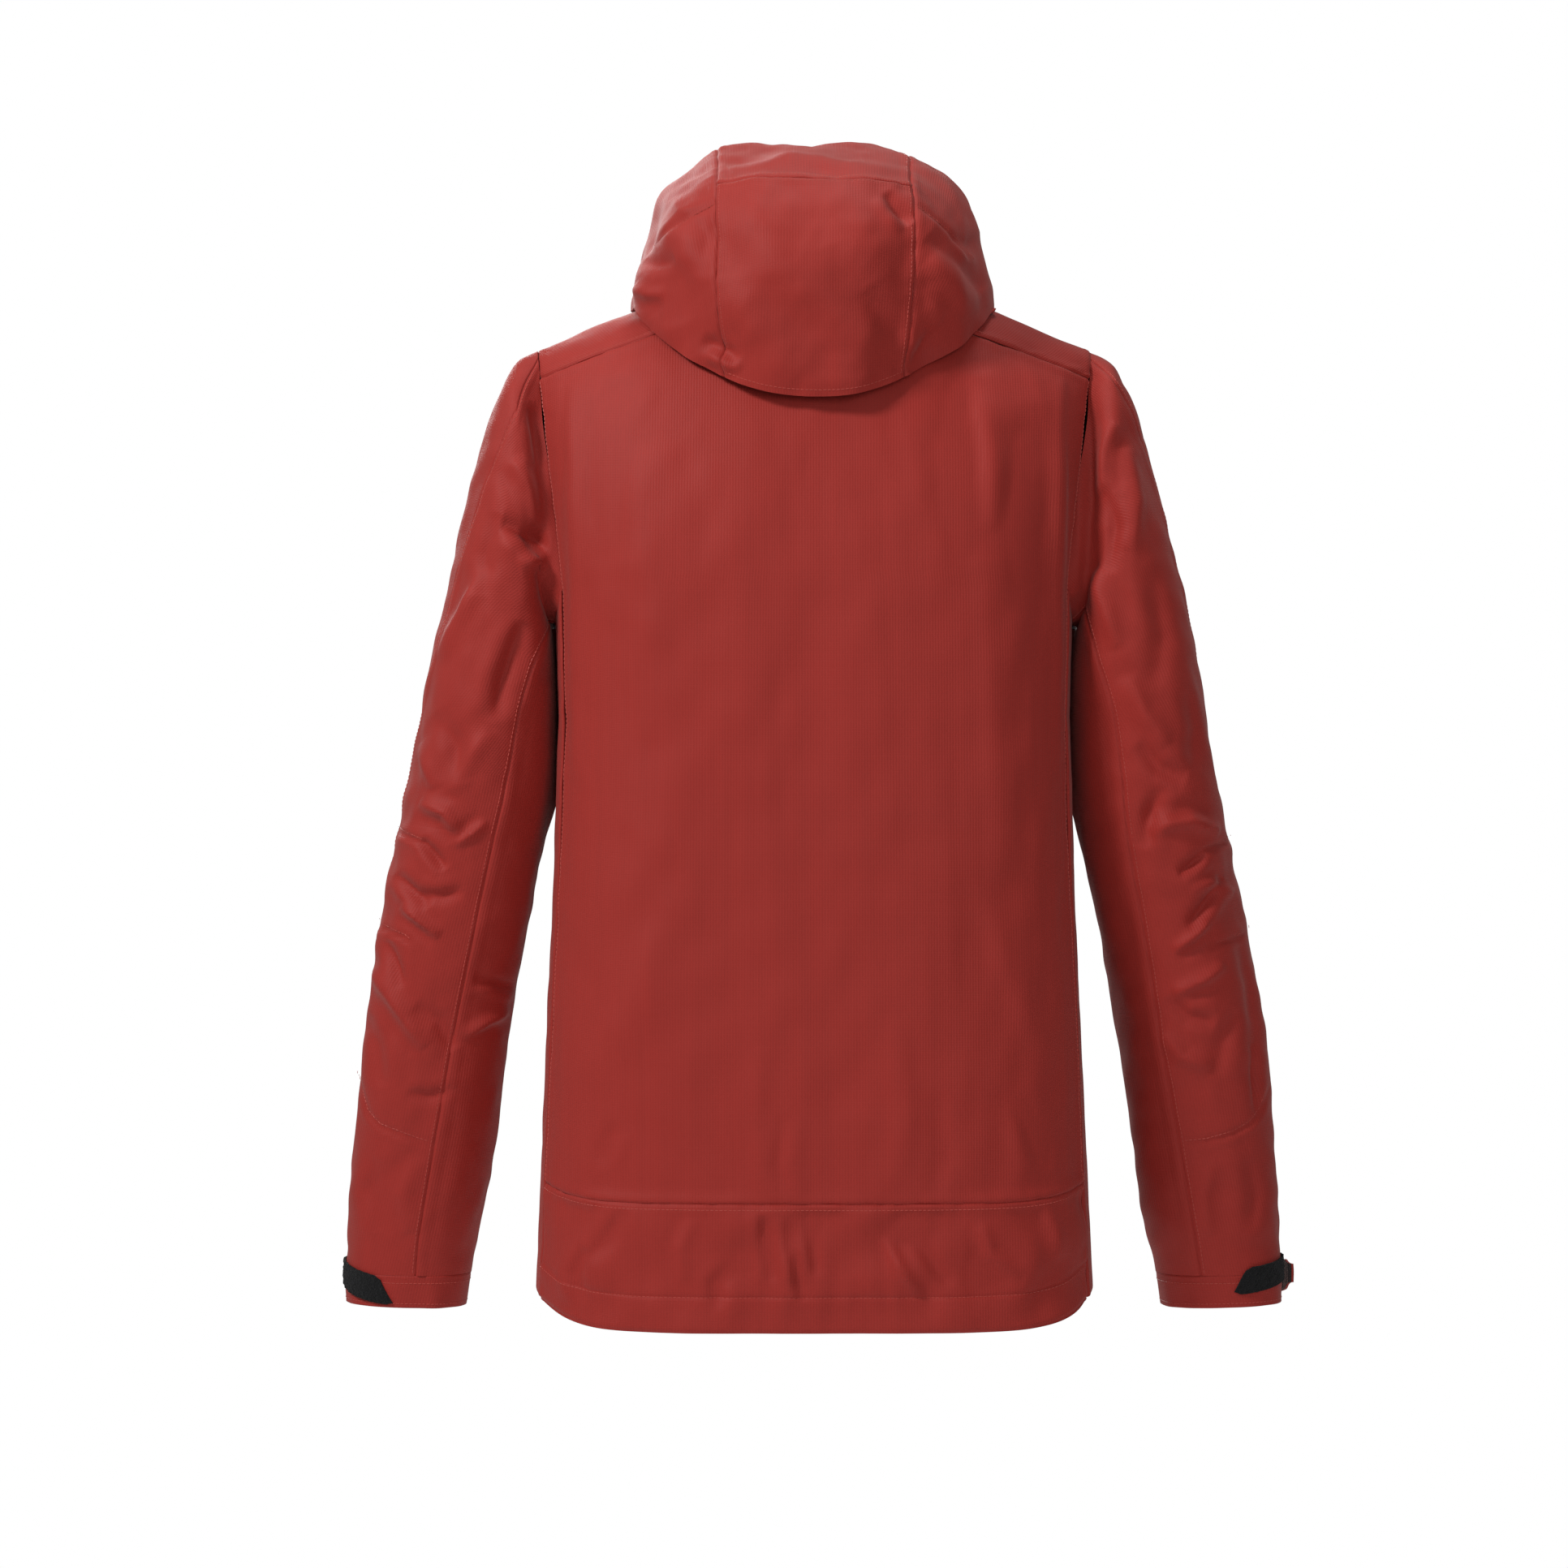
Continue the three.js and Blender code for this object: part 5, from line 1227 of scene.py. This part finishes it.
def sleeve_relief(side, folds, seed):
    def relief(points, normal):
        """The sleeve's own folds on its back, a set across the bend of the arm on its front, pleats round the
        outer elbow, and slow unevenness everywhere."""
        x, z = side * points[..., 0], points[..., 2]
        back, front = smooth(normal[..., 1], -0.05, 0.4), smooth(-normal[..., 1], -0.05, 0.4)
        outer = smooth(side * normal[..., 0], 0.2, 0.8)
        lift = 0.0024 * crumple(points * np.array([1, 1, 0.5]), 0.09, seed)
        lift = lift + 0.0006 * crumple(points, 0.03, seed + 1)
        lift = lift + back * creases(x, z, folds["folds"], 0.75, 1.8)
        lift = lift + front * creases(x, z, FRONT_FOLDS, 1.0, 1.2)
        lift = lift + back * crease(x, z, TUCK_LINE, 8, folds["tuck"], 0)
        for dart in folds["darts"]:
            lift = lift + back * crease(x, z, dart, 2.2, -2.6, 0.2)
        lift = lift + back * crease(x, z, folds["forearm"], 2.0, -1.5, 0.9)
        bend = np.exp(-(((z - 0.330) / 0.075) ** 2))
        rolls = crumple(np.stack([0.4 * x, 0.5 * points[..., 1], z], -1), 0.034, seed + 2)
        lift = lift + 0.0016 * bend * outer * rolls
        lift = lift + 0.0014 * bend * front * crumple(np.stack([0.4 * x, 0 * x, z], -1), 0.03, seed + 3)
        lift = lift * np.maximum(smooth(x, 0.1945, 0.205), smooth(-z, -0.546, -0.530))
        inner = smooth(-side * normal[..., 0], 0.55, 0.95)
        inner = inner * smooth(z, 0.335, 0.42) * smooth(-z, -0.542, -0.515)
        lift = lift * (1 - 0.7 * inner) + inner * (0.0025 + 0.0050 * smooth(-points[..., 1], 0, 0.02))
        return lift * smooth(z, 0.029, 0.050)
    return relief


def cuff_relief(seed):
    base = soft_relief(seed, 0.0006, 0.0004, 0.03)

    def relief(points, normal):
        """The unevenness, none of it at the cuff's seam, with a shallow dip along its stitching."""
        z = points[..., 2]
        dip = 0.0004 * np.exp(-(((z - 0.0245) / 0.001) ** 2))
        return base(points, normal) * smooth(-z, -0.0275, -0.018) - dip
    return relief


def sleeve_columns(between):
    """Shares round the sleeve with close columns on both sides of each of its two seams, at 0 and between."""
    seam = np.array([0, 0.0022, 0.0046, 0.0085, 0.013, 0.019, 0.027])
    first = np.concatenate([seam, np.linspace(0.027, between - 0.027, 46)[1:-1], between - seam[::-1]])
    second = between + np.concatenate([seam[1:], np.linspace(0.027, 1 - between - 0.027, 92)[1:-1],
                                       1 - between - seam[::-1]])
    return np.concatenate([first, second]), len(first) - 1


SEAM_SHARE = 0.34
columns, under_column = sleeve_columns(SEAM_SHARE)
GROOVE = np.zeros(len(columns))
for column in (0, under_column, len(columns) - 1):
    GROOVE -= 0.0010 * np.exp(-(((columns - columns[column]) / 0.0028) ** 2))
    side_of = (columns - columns[column]) % 1.0
    GROOVE += 0.0006 * ((side_of > 0.002) & (side_of < 0.024)) / (2 if column != under_column else 1)


def sleeve_surface(side, sewn_outer, sewn_under, start, end):
    def surface(u, v):
        """Round the arm from its outer seam (u 0) over the back seam to the outer seam again, from the ring
        number end up to start; u is stretched between the two seams, which wander as they go down."""
        ring = end + (start - end) * v
        outer = np.interp(ring, RING_NUMBERS, sewn_outer)
        under = np.interp(ring, RING_NUMBERS, sewn_under)
        u = u if side > 0 else 1 - u
        first = outer + (under - outer) * u / SEAM_SHARE
        second = under + (outer + 2 * np.pi - under) * (u - SEAM_SHARE) / (1 - SEAM_SHARE)
        turn = np.where(u < SEAM_SHARE, first, second)
        point = along_curve(ring_points(turn), ring)
        return point * np.array([side, 1, 1])
    return surface


for side, word in side_words:
    folds = SLEEVES[word]
    crossed = seam_turns(folds["outer"], np.radians(24), np.radians(-18))
    sewn_outer = np.where(RING_NUMBERS > 5, np.radians(-4 - 2.0 * (RING_NUMBERS - 5)), crossed)
    sewn_under = seam_turns(folds["under"], np.radians(165), np.radians(100))
    cells = columns if side > 0 else 1 - columns[::-1]
    groove = GROOVE if side > 0 else GROOVE[::-1]
    seam_at = under_column if side > 0 else len(columns) - 1 - under_column
    relief = sleeve_relief(side, folds, 110 + side)
    for part, start, end, rows in (("upper", 0, ELBOW_RING, 120),
                                   ("lower", ELBOW_RING, CUFF_RING - 0.003, 150)):
        surface = sleeve_surface(side, sewn_outer, sewn_under, start, end)
        sleeve = Sheet(surface, cells, np.linspace(0, 1, rows), relief, tube=True)
        sleeve.points = sleeve.points + sleeve.normal * groove[None, :, None]
        lines = [column_line(sleeve, seam_at + (3 if side < 0 else -3)), column_line(sleeve, 3)]
        if part == "lower":
            for path in folds["darts"]:
                lines.append(on_cloth(sleeve, [(side * x, z + 3) for x, z in path]))
            lines.append(on_cloth(sleeve, [(side * x, z + 3) for x, z in folds["forearm"]]))
        sewing = stitches(f"sleeve_{part}_stitches_{word}", lines)
        piece = sleeve.shell(f"sleeve_{part}_cloth_{word}", exact=True)
        if part == "upper":
            stands_for = [f"upper_sleeve_{word}"]
        else:
            stands_for = [f"elbow_section_{word}", f"forearm_sleeve_{word}"]
        for thing in (piece, sewing):
            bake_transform(thing)
        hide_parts(*stands_for)

    # The cuff's edge is turned in and stitched; the patch of loop pile is sewn round its outer back.
    cuff = Sheet(sleeve_surface(side, sewn_outer, sewn_under, CUFF_RING + 0.003, CUFF_END), cells,
                 np.linspace(0, 1, 16), cuff_relief(120 + side), tube=True)
    cuff_sewing = stitches(f"cuff_stitches_{word}", [row_line(cuff, -4), row_line(cuff, 3)])
    hang(cuff.shell(f"cuff_cloth_{word}"), f"forearm_{word}", cuff, [f"cuff_{word}"],
         [cuff_sewing])

# ---- Cuff patches and tabs ----
# A tongue of black loop pile is sewn slanting round each cuff's outer back, and a stiffened tab of face
# cloth, sewn at the cuff's front, is pressed onto it to close the cuff. The right tab reaches further round.
pile = Finish("black loop pile")
pile_place = pile.node("TexCoord", output=3)
pile_loops = pile.node("TexVoronoi", {}, {"Vector": pile_place, "Scale": 750.0})
pile_tufts = pile.noise(pile_place, 520, 5.0, 0.85)
pile_finish = pile.surface(pile.blend_colours(pile_tufts, (0.001, 0.001, 0.001), (0.020, 0.020, 0.021)),
                           pile_tufts * 0.1 + 0.85, pile_loops * 0.7 + pile_tufts, 0.0012, 1.0,
                           Sheen_Weight=0.05, Sheen_Roughness=0.6, Specular_IOR_Level=0.1)


CUFF_TOP = 0.028


def ring_at(z):
    """Ring number of a height on the cuff: 12 at its seam, 13 at its edge, less above the seam."""
    return np.where(z < CUFF_TOP, CUFF_RING + (CUFF_TOP - z) / 0.0245, CUFF_RING - (z - CUFF_TOP) / 0.0315)


def patch_surface(side):
    def surface(u, v):
        """A tongue on the cuff: it slants down from the outside of the cuff to its chamfered end at the back,
        less on the right cuff than on the left."""
        share = u if side > 0 else 1 - u
        turn = np.radians(-34) + np.radians(116 - 13 * v) * share
        drop = smooth(turn, np.radians(8), np.radians(84)) ** 0.8
        middle = 0.0285 - 0.0120 * drop if side > 0 else 0.0320 - 0.0070 * drop
        half = 0.0095 * (1 - 0.2 * smooth(share, 0.94, 1.0))
        z = middle + half * (2 * v - 1)
        return along_curve(ring_points(turn), ring_at(z)) * np.array([side, 1, 1])
    return surface


def pile_relief(points, normal):
    """Tufted loops: fine bumps on bumps, up to about half a millimetre."""
    return 0.0017 + 0.00035 * crumple(points, 0.0032, 130) + 0.0003 * crumple(points, 0.007, 131)


def tab_surface(side, reach):
    def surface(u, v):
        """A strip round the cuff's front from its sewn end to a chamfered tip."""
        share = u if side > 0 else 1 - u
        turn = np.radians(-90) + np.radians(reach) * share
        half = 0.0112 * (1 - 0.42 * smooth(share, 0.86, 1.0))
        z = 0.0175 + 0.008 * smooth(share, 0.5, 1.0) + half * (2 * v - 1)
        return along_curve(ring_points(turn), ring_at(z)) * np.array([side, 1, 1])
    return surface


def tab_relief(lift):
    def relief(points, normal):
        """Clear of the cuff by the lift, a little quilted by its stitching."""
        return lift + 0.0002 * crumple(points, 0.02, 135)
    return relief


for side, word in side_words:
    patch = Sheet(patch_surface(side), np.linspace(0, 1, 110), np.linspace(0, 1, 34), pile_relief)
    piece = patch.mesh(f"cuff_pile_{word}", pile_finish, None, 0.0014)
    hang(piece, f"forearm_{word}", patch, [f"cuff_patch_{word}"])

    reach = 74 if side > 0 else 93
    tab = Sheet(tab_surface(side, reach), steps(0.06, 0.003), steps(0.022, 0.002), tab_relief(0.0041))
    share = np.linspace(0, 1, tab.points.shape[1])[None, :, None]
    share = share if side > 0 else 1 - share
    tab.points = tab.points + tab.normal * (0.0005 if side > 0 else 0.0055) * share ** 5
    tab_sewing = stitches(f"cuff_tab_stitches_{word}",
                          row_pair(tab) + column_pair(tab))
    hang(tab.mesh(f"cuff_tab_cloth_{word}", shell_finish, fleece_finish, 0.0018), f"tab_{word}", tab,
         [f"cuff_tab_{word}"], [tab_sewing])

# ---- Hood ----
# A hood cut to go over a helmet: a wide centre strip of peak, crown and back, and a side panel on each side.
# It is sewn over the neckline in front and its back edge hangs free over the top of the back panel, where it
# has slumped a little. An elastic inside the brow draws it in.
HOOD_ARCHES = np.array([
    [[34, -102, 702], [120, -118, 790], [84, -116, 872], [0, -120, 873]],
    [[95, -77, 738], [126, -80, 805], [110, -76, 884], [0, -76, 884]],
    [[132, -35, 756.3], [122, -30, 845], [125, -20, 886], [0, -20, 886]],
    [[135, -12, 758.3], [132, 10, 830], [105, 92, 845], [0, 92, 843]],
    [[135, 8, 758.3], [136, 60, 800], [95, 128, 778], [0, 130, 775]],
    [[134, 28, 756], [127, 74, 735], [70, 112, 681], [0, 112, 682]]]) / 1000
PEAK_SEAM, CROWN_SEAM, HOOD_END = 0.55, 3, 5
HOOD_GAP = 0.0004


def hood_point(across, arch):
    """Across the hood from its right foot (-1) over the middle (0) to its left foot (1): each arch is half a
    cubic curve through four control points, and those follow a smooth curve from arch to arch."""
    w = (1 - np.abs(across))[..., None]
    total = 0
    for k, weight in enumerate([(1 - w) ** 3, 3 * w * (1 - w) ** 2, 3 * w * w * (1 - w), w ** 3]):
        rows = HOOD_ARCHES[:, k].reshape((6,) + (1,) * arch.ndim + (3,))
        rows = np.broadcast_to(rows, (6,) + arch.shape + (3,))
        total = total + weight * along_curve(rows, arch)
    return total * np.stack([np.sign(across), 1 + 0 * across, 1 + 0 * across], -1)


def centre_edge(arch):
    """The share across at which the centre strip is sewn to the sides: it widens over the back."""
    return 0.25 + 0.10 * np.clip((arch - 2) / 3, 0, 1)


def hood_centre(start, end):
    def surface(u, v):
        """The centre strip between its two seams, from one arch back to another."""
        arch = start + (end - start) * v
        edge = centre_edge(arch) - HOOD_GAP
        return hood_point(edge * (2 * u - 1), arch)
    return surface


def hood_side(side):
    def surface(u, v):
        """A side panel from its seam with the centre strip down to the neckline."""
        arch = HOOD_END * v
        inner = centre_edge(arch) + HOOD_GAP
        across = inner + (1 - inner) * u if side > 0 else -(1 + (inner - 1) * u)
        return hood_point(across, arch)
    return surface


HOOD_FOLDS = [
    ([(84, 724), (72, 718), (56, 708)], 4.5, -3.0), ([(80, 716), (68, 710), (54, 702)], 5, 2.0),
    ([(-52, 832), (-58, 822), (-70, 809)], 4.5, -2.6), ([(-36, 758), (-50, 738), (-72, 722)], 11, -2.4),
    ([(-98, 742), (-86, 724), (-72, 700)], 7, -3.2), ([(-80, 762), (-90, 744), (-92, 722)], 7, 2.4),
    ([(-82, 800), (-102, 786), (-128, 766)], 8, -2.4), ([(-80, 780), (-98, 764), (-112, 744)], 8, 2.0),
    ([(126, 806), (106, 776), (98, 738)], 15, -1.8), ([(118, 748), (100, 722), (88, 700)], 10, 1.8),
    ([(70, 858), (10, 862), (-64, 856)], 6, 1.6), ([(60, 850), (0, 854), (-66, 846)], 5, -1.4),
    ([(88, 826), (80, 800), (84, 770)], 7, -1.6), ([(40, 800), (52, 760), (46, 720)], 16, 1.0),
    ([(-10, 790), (-24, 750), (-16, 710)], 18, -1.0), ([(-60, 700), (-30, 694), (10, 692)], 9, 1.2),
    ([(128, 790), (118, 784), (104, 786)], 5, -1.8), ([(132, 770), (122, 762), (112, 760)], 4.5, 2.0),
    ([(-126, 812), (-116, 800), (-100, 806)], 6, -1.6), ([(104, 836), (96, 822), (80, 816)], 6, 1.4)]
BROW_LINES = {1: [(66, 829), (92, 816), (120, 800)], -1: [(-74, 824), (-98, 808), (-120, 788)]}


def hood_relief(seed, brow=None):
    def relief(points, normal):
        """Creases on the back of the hood and a slow slump over it all, with a dart at the brow if asked."""
        x, z = points[..., 0], points[..., 2]
        back = smooth(normal[..., 1], -0.1, 0.35)
        lift = 0.0034 * crumple(points, 0.075, seed) + 0.0006 * crumple(points, 0.028, seed + 1)
        lift = lift + back * creases(x, z, HOOD_FOLDS, 1.0, 1.9)
        if brow:
            lift = lift + back * crease(x, z, brow, 2.2, -2.2, 0.8)
        return lift
    return relief


for name, start, end, height, sewn, seed in (("crown", PEAK_SEAM, CROWN_SEAM - 0.003, 0.19, 6, 140),
                                             ("back", CROWN_SEAM + 0.003, HOOD_END, 0.18, 5, 143)):
    cloth = Sheet(hood_centre(start, end), steps(0.17, 0.0028), steps(height, 0.0026), hood_relief(147),
                  seams="lrbt" if name == "crown" else "lrb", pucker=0.00045, seed=seed)
    rows = column_pair(cloth) + [row_line(cloth, -sewn if name == "crown" else sewn)]
    if name == "back":
        rows.append(row_line(cloth, -8))
    sewing = stitches(f"hood_{name}_stitches", rows)
    hang(cloth.shell(f"hood_{name}_cloth"), "jacket", cloth, [f"hood_{name}"],
         [sewing])
for side, word in side_words:
    cloth = Sheet(hood_side(side), steps(0.18, 0.0028), steps(0.42, 0.0030),
                  hood_relief(147, BROW_LINES[side]), seams="lb" if side > 0 else "rb", pucker=0.00045,
                  seed=150 + side)
    sewing = stitches(f"hood_side_stitches_{word}", [row_line(cloth, 6), on_cloth(cloth, BROW_LINES[side])])
    hang(cloth.shell(f"hood_side_cloth_{word}"), "jacket", cloth,
         [f"hood_side_{word}"], [sewing])

peak = Sheet(hood_centre(0, PEAK_SEAM - 0.004), steps(0.16, 0.003), steps(0.05, 0.0026),
             soft_relief(155, 0.0004, 0.0002, 0.05), seams="lrt", seed=156)
peak_sewing = stitches("hood_peak_stitches", [row_line(peak, 5), row_line(peak, -5), row_line(peak, 12)])
peak_cloth = peak.shell("hood_peak_cloth")
for thing in (peak_cloth, peak_sewing):
    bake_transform(thing)
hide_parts("hood_peak")


def brow_surface(u, v):
    """A band inside the hood's front edge from one cheek over to the other."""
    return hood_point(0.9 * (2 * u - 1) + 1e-9, 0.72 + 0.21 * v)


brow = Sheet(brow_surface, np.linspace(0, 1, 120), np.linspace(0, 1, 8),
             soft_relief(158, 0.0002, 0.0003, 0.012), depth=0.0042)
brow_sewing = stitches("brow_elastic_stitches", [row_line(brow, 1), row_line(brow, 6)])
hang(brow.mesh("brow_elastic_band", elastic_finish, None, 0.0011), "jacket", brow, ["hood_face_elastic"],
     [brow_sewing])

# ---- Studio ----
# A pale floor well below the hanging jacket and broad soft lamps: the key stands high to the left of the
# camera, a weaker one to its right, one overhead and one for the jacket's front.
bpy.context.scene.view_settings.view_transform = "Standard"
world = bpy.data.worlds.new("studio")
bpy.context.scene.world = world
world.use_nodes = True
sky = world.node_tree
room = sky.nodes["Background"]
room.inputs["Color"].default_value = (1, 1, 1, 1)
room.inputs["Strength"].default_value = 0.23
seen = sky.nodes.new("ShaderNodeBackground")
seen.inputs["Strength"].default_value = 1.0
seen.inputs["Color"].default_value = (1, 1, 1, 1)
rays = sky.nodes.new("ShaderNodeLightPath")
either = sky.nodes.new("ShaderNodeMixShader")
sky.links.new(rays.outputs["Is Camera Ray"], either.inputs[0])
sky.links.new(room.outputs[0], either.inputs[1])
sky.links.new(seen.outputs[0], either.inputs[2])
sky.links.new(either.outputs[0], sky.nodes["World Output"].inputs["Surface"])


def lamp(name, place, aim, size, power):
    light = bpy.data.lights.new(name, "AREA")
    light.shape = "DISK"
    light.size = size
    light.energy = power
    lit = shown(name, light)
    lit.location = place
    lit.rotation_euler = (Vector(aim) - Vector(place)).to_track_quat("-Z", "Y").to_euler()


lamp("key", (1.9, 1.5, 1.5), (0, 0, -0.2), 0.6, 62)
lamp("fill", (-0.6, 2.9, 0.3), (0, 0, -0.3), 1.4, 20)
lamp("top", (-0.2, -0.1, 2.2), (0, 0, 0), 1.0, 20)
lamp("front", (0.9, -2.8, 0.9), (0, 0, -0.3), 1.6, 44)

FLOOR_RADIUS, FLOOR_DEPTH, FLOOR_SIDES = 2.5, 1.6, 96
floor_turns = np.linspace(0, 2 * np.pi, FLOOR_SIDES + 1)[:-1]
floor_ring = np.stack([FLOOR_RADIUS * np.cos(floor_turns), FLOOR_RADIUS * np.sin(floor_turns),
                       0 * floor_turns - FLOOR_DEPTH], -1)
floor_mesh = bpy.data.meshes.new("floor")
floor_mesh.from_pydata(floor_ring, [], [list(range(FLOOR_SIDES))])
floor = shown("floor", floor_mesh)
pale = Finish("pale floor")
pale_cloud = pale.noise(pale.node("TexCoord", output=3), 3.0)
pale_tone = pale.blend_colours(pale_cloud, (0.80, 0.80, 0.80), (0.84, 0.84, 0.84))
floor_mesh.materials.append(pale.surface(pale_tone, pale_cloud * 0.05 + 0.8))
